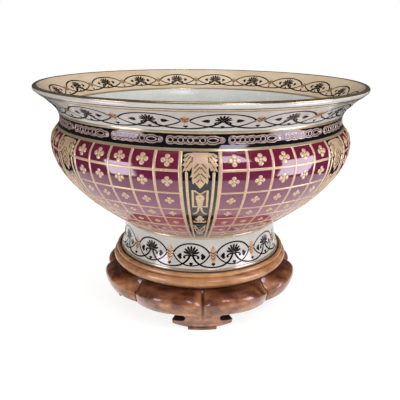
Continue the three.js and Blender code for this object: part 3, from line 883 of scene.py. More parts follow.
# %% Gilt lip
LIP_GILDING = 0.15
GILT_START, GILT_END = 25, 128
gilt_over, gilt_under = LIP_ROLL + LIP_GILDING, LIP_ROLL - LIP_GILDING
lip_outline = arc(LIP_CENTRE, gilt_over, gilt_over, GILT_START, GILT_END, 14)
lip_back = arc(LIP_CENTRE, gilt_under, gilt_under, GILT_END, GILT_START, 7)
points, faces = turned(lip_outline + lip_back, ROUND_STEPS, True)
new_piece("lip_gilding", points, faces, [lip_gold], "bowl")
print("gilt lip:", len(faces), "faces")

# %% [markdown]
# ## The chain band
# Between neck and belly runs a black band with eighteen lengths of chain in pale gold. Each length is a row
# of round links, one long almond link and a small end knob inside a running outline.

# %% Chain
CHAIN_UNITS = 18
CHAIN_HEIGHT = 215.8
CHAIN_GAP_BEARING = -11.8
CHAIN_LINKS = ((-21.2, 2.8), (-12.2, 3), (-3.8, 3), (6.6, 3))
CHAIN_BARS = ((-18.6, -15), (-9.4, -6.6), (-1, 3.8), (9.2, 11))
ALMOND = curve((10.5, 0), (13.4, 2.5), (17.4, 2.5), (20.3, 0), 10)
CHAIN_START = [(-24.6, 0), (-24, 2.4)]
CHAIN_END = [(13.4, 3.4), (17.4, 3.4), (21, 2.1), (23.4, 2.3), (25.2, 1.3), (25.4, 0)]
OVER_LINK = ((-0.5, 3.3), (0.5, 3.3), (1.2, 2.6))


def chain_paths():
    """Lines over the middle of a length of chain, with their widths. They are mirrored under it."""
    outline = list(CHAIN_START)
    for middle, radius in CHAIN_LINKS:
        outline += [(middle + radius * across, up) for across, up in OVER_LINK]
    bars = [([(start, 1.7), (end, 1.7)], 0.9) for start, end in CHAIN_BARS]
    return bars + [(ALMOND, 1.1), (outline + CHAIN_END, 1.15)]


def chain_unit(strokes, spot):
    for middle, radius in CHAIN_LINKS:
        strokes.line(spot, disc((middle, 0), radius - 0.6, radius - 0.8, 14), 1.1, closed=True)
    for path, width in chain_paths():
        for side in (-1, 1):
            strokes.line(spot, [(x, side * y) for x, y in path], width)
    strokes.pad(spot, disc((23, 0), 1.9, 1.7, 10))


chain = Strokes("chain_band", outside, pale_gold, LINE_LIFT)
for number in range(CHAIN_UNITS):
    chain_unit(chain, (CHAIN_GAP_BEARING + (number + 0.5) * 360 / CHAIN_UNITS, CHAIN_HEIGHT))
chain.finished()

# %% [markdown]
# ## The burgundy grid
# Raised gold lines cut the belly into squares, five columns between two pilasters, and each square holds a
# quatrefoil. The lines run to the foot, so they draw together and thin out downwards, and the flowers shrink
# with them.

# %% Upright lines and quatrefoils
PILASTER_HALF = 6.1
GRID_LINE_TOP = 207
GRID_BOTTOM = 104
MERIDIAN_STEPS = 44


def meridian(strokes, angle, top, bottom, width, end_width, end_angle=None):
    """Line from one height down to another at a bearing, which may shift on the way."""
    wall = strokes.wall
    start, end = wall.length_at(top), wall.length_at(bottom)
    shift = 0 if end_angle is None else end_angle - angle
    radius = wall.radius_at(top)
    path = []
    for step in range(MERIDIAN_STEPS + 1):
        share = step / MERIDIAN_STEPS
        path.append((math.radians(shift * share) * radius, (end - start) * share))
    strokes.line((angle, top), path, width, end_width * radius / wall.radius_at(bottom))


def quatrefoil(strokes, spot, size):
    for angle in (0, 90, 180, 270):
        strokes.pad(spot, turned_by(disc((0, size * 0.32), size * 0.22, size * 0.2, 12), angle))
    strokes.pad(spot, disc((0, 0), size * 0.15), 1.6)


# %% Grid between the pilasters
GRID_COLUMNS = 5
GRID_WIDTH, GRID_FOOT_WIDTH = 2.8, 1.3
GRID_LIFT = 0.45
GRID_LEVELS = ((191.5, 2.6), (170, 2.1), (151.5, 1.8), (139.1, 1.6), (126, 1.4), (113.4, 1.2))
LEVEL_STEPS = 30
grid = Strokes("grid_lines", outside, raised_gold, GRID_LIFT)
flowers = Strokes("grid_quatrefoils", outside, raised_gold, GRID_LIFT)
FLOWER_ROWS = ((200, 11), (181.3, 9.6), (161.5, 8.4), (145.4, 7), (132.3, 5.8), (119.2, 4.4))
for centre, after in zip(PILASTERS, PILASTERS[1:] + (PILASTERS[0] + 360,)):
    first_bearing = centre + PILASTER_HALF
    column_angle = (after - PILASTER_HALF - first_bearing) / GRID_COLUMNS
    for column in range(1, GRID_COLUMNS):
        bearing = first_bearing + column * column_angle
        meridian(grid, bearing, GRID_LINE_TOP, GRID_BOTTOM, GRID_WIDTH, GRID_FOOT_WIDTH)
    for level, width in GRID_LEVELS:
        span = math.radians(GRID_COLUMNS * column_angle) * outside.radius_at(level)
        path = [(span * step / LEVEL_STEPS, 0) for step in range(LEVEL_STEPS + 1)]
        grid.line((first_bearing, level), path, width)
    for column in range(GRID_COLUMNS):
        bearing = first_bearing + (column + 0.5) * column_angle
        for level, size in FLOWER_ROWS:
            quatrefoil(flowers, (bearing, level), size)
grid.finished()
flowers.finished()

# %% [markdown]
# ## The pilasters
# Seven black strips divide the grid. Each has a pair of gold borders, a hanging acanthus leaf with a smaller
# leaf at each side, a small framed arch on a stem, a bell flower and a lattice at the bottom. A leaf is one
# raised pad of paste gold with a toothed edge, and its veins are drawn over it in brown, as a gilder does.

# %% Drawings of the leaves, the arch, the bell and the lattice
MIDDLE_LEAF = (
    (0, 0.6), (7, 0.6), (8.4, -5), (7.6, -11), (7, -15), (7.2, -18), (8.7, -22.4), (6.8, -21.2), (7, -24.5),
    (6.2, -28.8), (4.6, -26.6), (3, -29.4), (0, -33.4),
)
SIDE_LEAF = (
    (5.6, 0.2), (11, -0.4), (14.4, -2.4), (12.6, -4.6), (14.8, -6.6), (12.8, -8.4), (15, -11.4), (13, -12.6),
    (14.8, -17.6), (12.4, -15.8), (11.4, -18), (10.4, -15.4), (8.8, -16.6), (7.4, -13.4), (5.6, -12),
)
VEINS = (
    ((1.6, -10), (4.9, -13.8)), ((0.5, -12.8), (4.8, -18)), ((0.5, -18.2), (5, -22.6)),
    ((0.5, -23.6), (3, -26.6)), ((8.2, -3.6), (12, -9.2)), ((7.6, -8), (11.6, -13.8)),
    ((9.8, -2.6), (12.8, -5.4)), ((6.6, -4.4), (6.9, -9)),
)
VEIN_LINES = [(path, 1.8, 1.2) for path in VEINS]
ARCH_LINES = (
    (((6.5, 0), (6.5, -10), (6.4, -20.4)), 2.4, 2.4),
    (((7.6, -0.2), (4.4, -0.6), (1.6, -3.2), (0, -3.7)), 1.4, 1.4),
    (((7.4, -20.6), (4.6, -20.8), (2.6, -19.8)), 1.9, 1.9),
    (curve((1.1, -14), (1.3, -27), (1.2, -31), (6.9, -32.6), 12), 2.8, 1.4),
)
ARCH_STEM = ((-3.6, -10), (3.6, -10), (2.4, -20), (-2.4, -20))
ARCH_GROUND = ((0, -3.6), (4, -0.8), (6.6, -0.5), (6.6, -10), (6.2, -19.6), (0, -19.6))
BELL = ((0, -2.4), (1.8, -3.8), (4.2, -4), (4.2, -7.4), (2.6, -8.2), (2.4, -12), (0, -12.6))
BELL_HORN = ((curve((0, -11.8), (2.6, -13.6), (5.4, -12.8), (6.2, -9.8), 7), 2.2, 1.3),)
LATTICE_LINES = (
    (((6.4, -0.6), (4.6, -1.4), (0, -17)), 1.7, 1.3),
    (((5.2, -4), (4.4, -15), (1.6, -22)), 1.5, 1.1),
    (((4.4, -15), (0, -22.4)), 1.2, 1.2),
)


# %% Motifs of a pilaster
def draw_both(strokes, spot, lines):
    """Lines of the right half of a motif, with their widths at both ends, drawn on both sides."""
    for side in (-1, 1):
        for path, width, end_width in lines:
            strokes.line(spot, [(side * x, y) for x, y in path], width, end_width)


def leaf_group(ornaments, veins, spot):
    ornaments.pad(spot, both_sides(MIDDLE_LEAF))
    for side in (-1, 1):
        ornaments.pad(spot, [(side * x, y) for x, y in SIDE_LEAF])
    draw_both(veins, spot, VEIN_LINES)
    veins.line(spot, [(0, -13), (0, -23)], 1.2, 0.8)


def framed_arch(ornaments, veins, spot):
    """Square frame with a dipped top, and in it an arch on a stem with two feet."""
    draw_both(ornaments, spot, ARCH_LINES)
    ornaments.pad(spot, disc((0, -9), 4.2, 4.8, 14))
    ornaments.pad(spot, list(ARCH_STEM))
    veins.pad(spot, disc((0, -8), 0.8))


def bell_flower(ornaments, veins, spot):
    ornaments.pad(spot, leaf((0, -6), 7.4, 5.4, 0))
    ornaments.pad(spot, both_sides(BELL))
    draw_both(ornaments, spot, BELL_HORN)
    veins.pad(spot, disc((0, -2.8), 0.6))
    veins.line(spot, [(0, -5), (0.3, -10.6)], 0.6)


def lattice(ornaments, spot):
    draw_both(ornaments, spot, LATTICE_LINES)
    for side in (-1, 1):
        ornaments.pad(spot, disc((side * 2.6, -25.4), 1.1, 1.4))
    ornaments.pad(spot, disc((0, -26), 1.1, 1.6))


# %% Pilasters
BORDERS = (
    {"half": PILASTER_HALF, "foot_half": 5.6, "top": GRID_LINE_TOP, "widths": (3.4, 2.1)},
    {"half": 4.1, "foot_half": 3.3, "top": 190.5, "widths": (2.5, 1.7)},
)
LEAF_LEVEL, ARCH_LEVEL, BELL_LEVEL, LATTICE_LEVEL = 206, 173.4, 142.6, 128
PILASTER_LIFT, VEIN_LIFT = 0.5, 0.75
borders = Strokes("pilaster_borders", outside, raised_gold, PILASTER_LIFT)
ornaments = Strokes("pilaster_ornaments", outside, raised_gold, PILASTER_LIFT)
veins = Strokes("pilaster_veins", outside, vein_ink, VEIN_LIFT)
arch_grounds = Strokes("arch_grounds", outside, red_glaze, DRAWING_LIFT)
for centre in PILASTERS:
    for side in (-1, 1):
        for border in BORDERS:
            start, end = centre + side * border["half"], centre + side * border["foot_half"]
            meridian(borders, start, border["top"], GRID_BOTTOM, *border["widths"], end)
    leaf_group(ornaments, veins, (centre, LEAF_LEVEL))
    framed_arch(ornaments, veins, (centre, ARCH_LEVEL))
    bell_flower(ornaments, veins, (centre, BELL_LEVEL))
    lattice(ornaments, (centre, LATTICE_LEVEL))
    arch_grounds.pad((centre, ARCH_LEVEL), both_sides(ARCH_GROUND))
for part in (borders, ornaments, veins, arch_grounds):
    part.finished()

# %% [markdown]
# ## Wood
# The ring is turned from a paler plank, and the aprons are carved, stained darker and patchy. Both show long
# grain, so the noise is stretched along it: from left to right in the ring, and along each apron piece.
# Under the ring and in the carved creases the wood is painted darker, as painted shade.


# %% Wood finishes
CREASE_START, CREASE_END = 22, 10
CREASE_REACH = 2.6
CREASE_FADE = 3
FIGURE_STOPS = (0.32, 0.5, 0.72)
GRAIN_STRETCH = (0.16, 1, 1)
PATCH_STAIN = ((0.38, colour(150, 112, 92)), (0.6, WHITE))
# Painted shade darkens the carved creases.
CREASE_SHADE = ((0.3 / CREASE_REACH, colour(132, 104, 90)), (1, WHITE))


def multiplied(recipe, first, second, share):
    """Second colour laid over the first by multiplying, for the stain patches and for the painted shade."""
    stain = recipe.add("Mix", {})
    stain.data_type = "RGBA"
    stain.blend_type = "MULTIPLY"
    recipe.fill(stain, {0: share, 6: first, 7: second})
    return stain.outputs[2]


# Mask for the painted shade in the carved creases.
def off_creases(recipe):
    """How far a point lies from the creases, which follow the X and the Y axis and run out on the feet."""
    beside = [recipe.arithmetic("ABSOLUTE", recipe.along(axis)) for axis in "XY"]
    across = recipe.arithmetic("MINIMUM", *beside)
    on_foot = recipe.between(recipe.along("Z"), 0, CREASE_FADE * MM, CREASE_START * MM, CREASE_END * MM)
    return recipe.arithmetic("DIVIDE", recipe.arithmetic("ADD", across, on_foot), CREASE_REACH * MM)


def wood(name, figure, turn, gloss, coat, patchy=0.3, shade_levels=None):
    """Long grain under patches of stain. Carved wood also gets painted shade: darker in its creases and
    towards its top, under the ring.
    """
    recipe = new_recipe(name)
    grain = recipe.tones(recipe.noise(130, 6, GRAIN_STRETCH, turn), zip(FIGURE_STOPS, figure))
    patches = recipe.tones(recipe.noise(scale=75, detail=7), PATCH_STAIN)
    stained_and_shaded = multiplied(recipe, grain, patches, patchy)
    if shade_levels:
        stained_and_shaded = multiplied(recipe, stained_and_shaded, recipe.tones(off_creases(recipe), CREASE_SHADE), 1)
        stained_and_shaded = multiplied(recipe, stained_and_shaded, recipe.by_height(shade_levels), 1)
    worn = recipe.between(recipe.noise(scale=60, detail=4), *gloss)
    recipe.shade({"Base Color": stained_and_shaded, "Roughness": worn, "Coat Weight": coat, "Coat Roughness": 0.1})
    recipe.bump(recipe.noise(scale=120, detail=4), distance=0.5)
    return recipe.owner


# %% Woods
# Painted shade: the aprons darken towards their top, under the ring.
APRON_SHADE_UNDER_RING = ((0, WHITE), (32, WHITE), (40, colour(214, 200, 196)), (46, colour(120, 96, 88)))
RING_FIGURE = (colour(174, 117, 74), colour(204, 148, 99), colour(220, 167, 119))
APRON_FIGURE = (colour(146, 88, 48), colour(192, 124, 74), colour(224, 164, 114))
# Sawn faces are near black: dark joints at the mitres, and painted shade inside the notches.
SAWN_AND_SHADE_FIGURE = (colour(44, 26, 18), colour(62, 38, 26), colour(76, 50, 34))
TONGUE_FIGURE = (colour(160, 120, 80), colour(186, 146, 102), colour(200, 164, 122))
ring_wood = wood("turned_wood", RING_FIGURE, 0, (0.25, 0.4), 0.4)
apron_wood_x = wood("carved_wood_front", APRON_FIGURE, 0, (0.25, 0.45), 0.9, 0.85, APRON_SHADE_UNDER_RING)
apron_wood_y = wood("carved_wood_side", APRON_FIGURE, 90, (0.25, 0.45), 0.9, 0.85, APRON_SHADE_UNDER_RING)
dark_cut_wood_and_shade = wood("sawn_wood_and_painted_shade", SAWN_AND_SHADE_FIGURE, 0, (0.7, 0.9), 0)
tongue_wood = wood("tongue_wood", TONGUE_FIGURE, 0, (0.6, 0.8), 0)
print("woods:", ring_wood.name, apron_wood_x.name, apron_wood_y.name, tongue_wood.name)

# %% [markdown]
# ## The turned ring
# Cove, torus, groove and bead come off one turning tool after another, so the ring is one turned outline.

# %% Ring
RING_BORE, RING_FOOT, RING_REBATE = 82.5, 92, 94.2
RING_BASE, RING_TOP = 46, 63.4
COVE = ((93, 47), (93, 50), (93, 50), (96.8, 50))
TORUS = ((96.8, 54.7), 4.4, 4.7)
GROOVE = (95.8, 59.6)
BEAD = ((95.5, 62.5), 2.3, 2.3)
LEDGE_BEVEL = 1
RING_SHARP = 50
ring_outline = joined(
    [(RING_BORE, RING_BASE), (RING_FOOT, RING_BASE)],
    curve(*COVE, 8),
    arc(*TORUS, -90, 90, 20),
    [GROOVE],
    arc(*BEAD, -60, 120, 14),
    [(RING_REBATE, RING_TOP), (RING_REBATE, SEAT_LEVEL)],
    [(RING_BORE + LEDGE_BEVEL, SEAT_LEVEL), (RING_BORE, SEAT_LEVEL - LEDGE_BEVEL)],
)
points, faces = turned(ring_outline, ROUND_STEPS, True)
ring_piece = new_piece("turned_ring", points, faces, [ring_wood], "stand")
ring_piece.data.set_sharp_from_angle(angle=math.radians(RING_SHARP))
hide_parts("seat_ring")
print("ring:", len(faces), "faces")

# %% [markdown]
# ## The carved aprons
# Each of the four pieces is sawn to its outline, then carved: two swelling lobes, a crease over the foot,
# and a teardrop notch each side of it. The lobes come from one section that changes with the bearing.
# Notches, mitres, screw holes and tongue slots are cut out afterwards with boolean modifiers, as a saw and a
# drill would.

# %% Sizes of the lobes at a bearing
SEGMENT_HALF = 45
LOBE = {"radius": 113.4, "height": 36.5, "low_radius": 108.4, "low_height": 22}
CREASE = {"radius": 104.5, "height": 33, "low_radius": 104, "low_height": 22}
SEAM = {"radius": 102.5, "height": 31.5, "low_radius": 100, "low_height": 19.5}
CREASE_SPREAD = 4
SEAM_SPREAD, SEAM_SWELL = 22, 0.9


def blend(low, high, share):
    return low + (high - low) * share


def near_crease(angle):
    return math.exp(-abs(angle) / CREASE_SPREAD)


def near_seam(angle):
    share = min(1, (SEGMENT_HALF - abs(angle)) / SEAM_SPREAD)
    return 1 - math.sin(math.pi / 2 * share) ** SEAM_SWELL


def lobe_value(name, angle):
    """A size of the lobes at a bearing: full on a lobe, less at the crease and least at the seam."""
    full = LOBE[name]
    return full + (CREASE[name] - full) * near_crease(angle) + (SEAM[name] - full) * near_seam(angle)


for place, bearing in (("the middle of a lobe", SEGMENT_HALF / 2), ("a seam", SEGMENT_HALF)):
    print("radius at", place, "is", round(lobe_value("radius", bearing), 1), "mm")


# %% Shoulder and face of the lobes
APRON_TOP = RING_BASE
RING_SEAT = RING_FOOT
CREASE_HOLLOW = 0.8
FULL_TOP = ((0.55, 0), (1, 0.38))
HOLLOW_TOP = ((0.04, 0.55), (0.48, 0.86))
FACE_STEPS = 10


def top_curve(angle):
    """From the ring's seat over the shoulder. On a lobe it is full, at a seam it is hollow."""
    radius, height = lobe_value("radius", angle), lobe_value("height", angle)
    hollow = min(1, CREASE_HOLLOW * near_crease(angle) + near_seam(angle))
    out, down = radius - RING_SEAT, APRON_TOP - height
    shares = [part_way(full, low, hollow) for full, low in zip(FULL_TOP, HOLLOW_TOP)]
    handles = [(RING_SEAT + out * across, APRON_TOP - down * fall) for across, fall in shares]
    return curve((RING_SEAT, APRON_TOP), *handles, (radius, height), 16)


def lobe_face(angle):
    radius, height = lobe_value("radius", angle), lobe_value("height", angle)
    low_radius, low_height = lobe_value("low_radius", angle), lobe_value("low_height", angle)
    face = []
    for step in range(1, FACE_STEPS + 1):
        z = blend(height, low_height, step / FACE_STEPS)
        swell = math.sin((z - low_height) / (height - low_height) * math.pi / 2)
        face.append((blend(low_radius, radius, swell), z))
    return face


# %% Bracket foot
TOE_RADIUS = 97
INSTEP_RADIUS = 105
INSTEP_DROP = 0.3
INSTEP_CURVE = 0.8
PLINTH_HEIGHT = 3
PLINTH_HALF = 9
FOOT_HALF = 18.5
TAIL_HEIGHT = 6.5
TAIL_CURVE = 1.4
LEAST_SETBACK = 0.5
FOOT_STEPS = 8


def lower_edge(angle):
    if abs(angle) <= PLINTH_HALF:
        return PLINTH_HEIGHT
    share = (abs(angle) - PLINTH_HALF) / (FOOT_HALF - PLINTH_HALF)
    return blend(PLINTH_HEIGHT, TAIL_HEIGHT, min(share, 1) ** TAIL_CURVE)


def foot_face(angle):
    """Face of the bracket foot, set back under the lobes. Beside the foot it lies flat, as the underside."""
    instep = lobe_value("low_height", angle) - INSTEP_DROP
    bottom = lower_edge(angle)
    face = []
    for step in range(FOOT_STEPS + 1):
        z = blend(instep, bottom, step / FOOT_STEPS)
        share = (z - PLINTH_HEIGHT) / (LOBE["low_height"] - PLINTH_HEIGHT)
        radius = blend(TOE_RADIUS, INSTEP_RADIUS, max(share, 0) ** INSTEP_CURVE)
        if abs(angle) > FOOT_HALF:
            radius += (SEAM["low_radius"] - LOBE["low_radius"]) * near_seam(angle)
            z = instep
        face.append((min(radius, lobe_value("low_radius", angle) - LEAST_SETBACK), z))
    return face


# %% Whole section, and the bearings that it is taken at
APRON_INNER = 81
PLINTH_STEP = 0.8
UNDERSIDE_STEP = 0.6
SIDE_STEPS = 72
EDGE_ANGLE = 0.3
STEP_GAP = 0.25


def apron_section(angle):
    foot_points = foot_face(angle)
    end, bottom = foot_points[-1]
    if abs(angle) <= PLINTH_HALF:
        foot_points += [(end + PLINTH_STEP, PLINTH_HEIGHT * 0.9), (end + PLINTH_STEP, 0)]
        bottom = 0
    else:
        foot_points += [(end - UNDERSIDE_STEP, bottom), (end - 2 * UNDERSIDE_STEP, bottom)]
    outer_points = top_curve(angle) + lobe_face(angle) + foot_points
    return [(APRON_INNER, APRON_TOP)] + outer_points + [(APRON_INNER, bottom)]


def apron_angles():
    """Bearings of the sections, with two close together at each edge of the plinth and of the foot."""
    steps = [SEGMENT_HALF * number / SIDE_STEPS for number in range(SIDE_STEPS + 1)]
    edges = [PLINTH_HALF, PLINTH_HALF + EDGE_ANGLE, FOOT_HALF, FOOT_HALF + EDGE_ANGLE]
    clear = [angle for angle in steps if min(abs(angle - edge) for edge in edges) > STEP_GAP]
    half = sorted(clear + edges)
    return [-angle for angle in half[:0:-1]] + half


print("apron:", len(apron_angles()), "sections of", len(apron_section(0)), "points")


# %% Blank of an apron piece, pointing to the front
def apron_blank():
    angles = apron_angles()
    points, faces = [], []
    for angle in angles:
        points.extend(around(angle, radius, height) for radius, height in apron_section(angle))
    count = len(apron_section(0))
    for column in range(len(angles) - 1):
        for row in range(count):
            near = column * count + row
            beside = column * count + (row + 1) % count
            faces.append((near, near + count, beside + count, beside))
    last = (len(angles) - 1) * count
    faces.append(tuple(range(count)))
    faces.append(tuple(last + row for row in reversed(range(count))))
    return meshed("apron_blank", points, faces, [apron_wood_x])


# %% Cutting tools
def cutter(name, outline, depth, matrix):
    """Prism with an outline in the X and Y plane and its depth along Z, moved by a matrix. Millimetres."""
    shape = bmesh.new()
    bottom = [shape.verts.new((x, y, 0)) for x, y in outline]
    top = [shape.verts.new((x, y, depth)) for x, y in outline]
    shape.faces.new(bottom[::-1])
    shape.faces.new(top)
    for index in range(len(outline)):
        after = (index + 1) % len(outline)
        shape.faces.new((bottom[index], bottom[after], top[after], top[index]))
    bmesh.ops.recalc_face_normals(shape, faces=shape.faces)
    bmesh.ops.transform(shape, matrix=Matrix.Scale(MM, 4) @ matrix, verts=shape.verts)
    mesh = bpy.data.meshes.new(name)
    shape.to_mesh(mesh)
    shape.free()
    # Cut faces take the dark sawn finish, which is painted shade inside the notches.
    mesh.materials.append(dark_cut_wood_and_shade)
    return in_scene(name, mesh)


def apply_to(piece, modifier):
    with bpy.context.temp_override(object=piece, active_object=piece):
        bpy.ops.object.modifier_apply(modifier=modifier.name)


def cut_away(piece, tool):
    modifier = piece.modifiers.new("cut", "BOOLEAN")
    modifier.operation = "DIFFERENCE"
    modifier.solver = "EXACT"
    modifier.material_mode = "TRANSFER"
    modifier.object = tool
    apply_to(piece, modifier)
    bpy.data.objects.remove(tool)


# %% Upright cuts
def box_outline(half, low, high):
    return [(-half, low), (half, low), (half, high), (-half, high)]


def bearing_matrix(angle, radius):
    """Stands a prism's outline upright at a bearing, with its depth going outwards from a radius."""
    upright = Matrix(((1, 0, 0, 0), (0, 0, -1, 0), (0, 1, 0, 0), (0, 0, 0, 1)))
    return Matrix.Rotation(math.radians(angle), 4, "Z") @ Matrix.Translation((0, -radius, 0)) @ upright


def saw_out(piece, name, cut, bearing, outline=None):
    """Cuts an upright outline, or else the cut's own box, out of a piece at a bearing."""
    outline = outline or box_outline(cut["half"], cut["low"], cut["high"])
    cut_away(piece, cutter(name, outline, cut["depth"], bearing_matrix(bearing, cut["radius"])))


# %% Notches
NOTCH = {"middle": 14.8, "half": 8.3, "low": 11.8, "high": 22.4, "radius": 78, "depth": 40}


def notch_outline(side):
    """Teardrop with a round end and a flat roof."""
    half, sill, roof = NOTCH["half"], NOTCH["low"], NOTCH["high"]
    opening = roof - sill
    centre = (opening * 0.4 - half, sill + opening * 0.42)
    round_end = arc(centre, opening * 0.4, opening * 0.4, 100, 262, 12)
    tail = curve(round_end[-1], (0, sill - 0.6), (4, sill - 0.3), (half, sill + 0.7), 8)
    return [(x * side, y) for x, y in joined(round_end, tail, [(half, roof), (2, roof)])]


# %% Screw holes
SCREW_BEARING, SCREW_RADIUS = 27, 90


def drill_hole(piece, angle, radius, bottom, top):
    where = around(angle, SCREW_RADIUS, bottom) / MM
    outline = disc((0, 0), radius, radius, 24)
    cut_away(piece, cutter("drill", outline, top - bottom, Matrix.Translation(where)))


# %% All cuts of an apron piece
MITRE = {"half": 0.45, "low": -70, "high": 70, "radius": 60, "depth": 80}
SLOT = {"half": 8.3, "low": 25.1, "high": 47, "radius": 84.2, "depth": 3.6}
HEAD_HOLE = {"radius": 4.1, "bottom": -1, "top": 28}
SHANK_HOLE = {"radius": 2.3, "bottom": 27, "top": 47}


def carve(piece):
    for side in (-1, 1):
        saw_out(piece, "notch", NOTCH, side * NOTCH["middle"], notch_outline(side))
        saw_out(piece, "mitre", MITRE, side * SEGMENT_HALF)
        saw_out(piece, "slot", SLOT, side * SEGMENT_HALF)
        drill_hole(piece, side * SCREW_BEARING, **HEAD_HOLE)
        drill_hole(piece, side * SCREW_BEARING, **SHANK_HOLE)


# %% Carve and soften the blank
SHARP_EDGE = 42
SOFT_EDGE = 0.5


def soften(piece, width):
    modifier = piece.modifiers.new("soften", "BEVEL")
    modifier.width = width * MM
    modifier.segments = 2
    modifier.limit_method = "ANGLE"
    modifier.angle_limit = math.radians(SHARP_EDGE)
    modifier.use_clamp_overlap = True
    apply_to(piece, modifier)


blank = apron_blank()
carve(blank)
soften(blank, SOFT_EDGE)
print("carved blank:", len(blank.data.polygons), "faces")

# %% Four aprons from one blank
APRON_SHARP = 38
for number, side in enumerate(("front", "right", "back", "left")):
    mesh = blank.data.copy()
    mesh.transform(Matrix.Rotation(math.radians(90 * number), 4, "Z"))
    mesh.materials[0] = apron_wood_y if side in ("right", "left") else apron_wood_x
    mesh.shade_smooth()
    mesh.set_sharp_from_angle(angle=math.radians(APRON_SHARP))
    piece = in_scene("carved_apron_" + side, mesh)
    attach(piece, "stand")
    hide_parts("apron_" + side)
bpy.data.objects.remove(blank)
print("aprons:", number + 1, "pieces")

# %% [markdown]
# ## Tongues and screws
# These are hidden in the real stand unless it is turned over, and their solids already have the right shape.
# They keep it, and take a finish: bare wood, and brass that has gone dull.

# %% Finishes of the hidden pieces
brass = gold("dull_brass", colour(150, 122, 66), colour(104, 82, 50), 1, (0.3, 0.5))
for name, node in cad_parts.items():
    for start, finish in (("mitre_tongue", tongue_wood), ("ring_screw", brass)):
        if name.startswith(start):
            node.data.materials.clear()
            node.data.materials.append(finish)
print("hidden pieces take", tongue_wood.name, "and", brass.name)

# %% [markdown]
# ## Floor and surroundings
# The photograph has a white ground with a faint shadow. The floor is white, and for the camera and for
# reflections it also glows, so the shadow on it stays faint. Polished glaze needs something dark to reflect,
# or the burgundy turns grey. So a dark wall stands round the set, with three glowing cards in front of it
# that give the glaze its soft highlights. Only reflections see the wall and the cards, and they see no lamp.

# %% Floor paint and card paint
FLOOR_GLOW = 1.2
FLOOR_GLOW_SHARE = 0.7


def seen_rays(recipe):
    """1 for camera, glossy and transmission rays, otherwise 0."""
    rays = recipe.add("LightPath", {}).outputs
    either = recipe.arithmetic("MAXIMUM", rays["Is Camera Ray"], rays["Is Glossy Ray"])
    return recipe.arithmetic("MAXIMUM", either, rays["Is Transmission Ray"])


def surface(recipe, shader):
    """Makes a shader the whole surface of a material, in place of the one that it starts with."""
    recipe.nodes.remove(recipe.nodes["Principled BSDF"])
    recipe.fill(recipe.nodes["Material Output"], {"Surface": shader.outputs[0]})
    return recipe.owner


def floor_paint():
    recipe = new_recipe("floor_paint")
    lit = recipe.add("BsdfDiffuse", {"Color": WHITE})
    glow = recipe.add("Emission", {"Color": WHITE, "Strength": FLOOR_GLOW})
    share = recipe.arithmetic("MULTIPLY", seen_rays(recipe), FLOOR_GLOW_SHARE)
    return surface(recipe, recipe.add("MixShader", {0: share, 1: lit.outputs[0], 2: glow.outputs[0]}))


def glow_paint(name, level, tint=(1, 1, 1)):
    recipe = new_recipe(name)
    return surface(recipe, recipe.add("Emission", {"Color": (*(level * share for share in tint), 1)}))


# %% Strips that only reflections see
BAND_STEP = 5


def stage_mesh(name, points, faces, paint):
    piece = meshed(name, points, faces, [paint])
    return piece


def reflected_band(name, paint, radius, start, end, bottom, top):
    """Upright strip round the axis between two bearings, which only reflections see."""
    steps = (end - start) // BAND_STEP
    points = []
    for step in range(steps + 1):
        angle = start + (end - start) * step / steps
        points += [around(angle, radius, bottom), around(angle, radius, top)]
    faces = [(2 * step, 2 * step + 2, 2 * step + 3, 2 * step + 1) for step in range(steps)]
    piece = stage_mesh(name, points, faces, paint)
    piece.visible_camera = False
    piece.visible_diffuse = False
    piece.visible_shadow = False


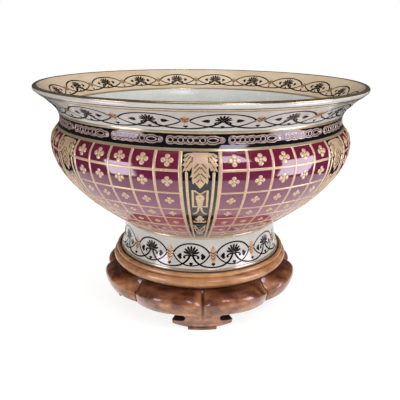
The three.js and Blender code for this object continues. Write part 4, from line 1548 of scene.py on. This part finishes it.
# %% Floor, dark wall and cards
FLOOR_HALF = 2.5
WALL_RADIUS, CARD_RADIUS = 400, 385
WALL_TOP = 1500
WALL_GLOW, CARD_GLOW = 0.05, 6.5
CARD_TINT = (1, 0.94, 1.12)
CARDS = (
    {"name": "card_left", "start": -58, "end": -40, "bottom": 40, "top": 213},
    {"name": "card_right", "start": 44, "end": 68, "bottom": 40, "top": 252},
    {"name": "card_front", "start": 10, "end": 27, "bottom": 310, "top": 600},
)
corners = [(x * FLOOR_HALF, y * FLOOR_HALF, 0) for x, y in ((-1, -1), (1, -1), (1, 1), (-1, 1))]
stage_mesh("floor", corners, [(0, 1, 2, 3)], floor_paint())
wall_paint = glow_paint("dark_wall_paint", WALL_GLOW)
reflected_band("dark_wall", wall_paint, WALL_RADIUS, 0, 360, 0, WALL_TOP)
card_paint = glow_paint("card_paint", CARD_GLOW, CARD_TINT)
for card in CARDS:
    reflected_band(paint=card_paint, radius=CARD_RADIUS, **card)
print("stage: a floor, a dark wall and", len(CARDS), "cards")

# %% World and lamps
WORLD_LEVEL = 0.48
LAMP_AIM = Vector((0, 0, 0.13))
LAMPS = (
    {"name": "key", "bearing": 40, "distance": 1.3, "height": 1.2, "size": 0.9, "power": 12.5},
    {"name": "fill", "bearing": -55, "distance": 1.4, "height": 0.8, "size": 0.9, "power": 2.5},
    {"name": "top", "bearing": 180, "distance": 0.8, "height": 1.6, "size": 1.0, "power": 6},
)


def add_world():
    recipe = Recipe(bpy.data.worlds.new("studio"))
    soft = recipe.fill(recipe.nodes["Background"], {"Color": WHITE, "Strength": WORLD_LEVEL})
    seen = recipe.add("Background", {"Color": WHITE, "Strength": 1})
    mixed = recipe.add("MixShader", {0: seen_rays(recipe), 1: soft.outputs[0], 2: seen.outputs[0]})
    recipe.fill(recipe.nodes["World Output"], {"Surface": mixed.outputs[0]})
    bpy.context.scene.world = recipe.owner


def add_lamp(name, bearing, distance, height, size, power):
    """Soft lamp at a bearing, aimed at the middle of the bowl. Distances are in metres."""
    light = bpy.data.lights.new(name, "AREA")
    light.shape = "SQUARE"
    light.size = size
    light.energy = power
    lamp = in_scene(name, light)
    lamp.location = around(bearing, distance / MM, height / MM)
    lamp.rotation_euler = (LAMP_AIM - lamp.location).to_track_quat("-Z", "Y").to_euler()
    lamp.visible_glossy = False


add_world()
for lamp in LAMPS:
    add_lamp(**lamp)
bpy.context.scene.view_settings.view_transform = "Standard"
print("world at", WORLD_LEVEL, "and", len(LAMPS), "lamps")
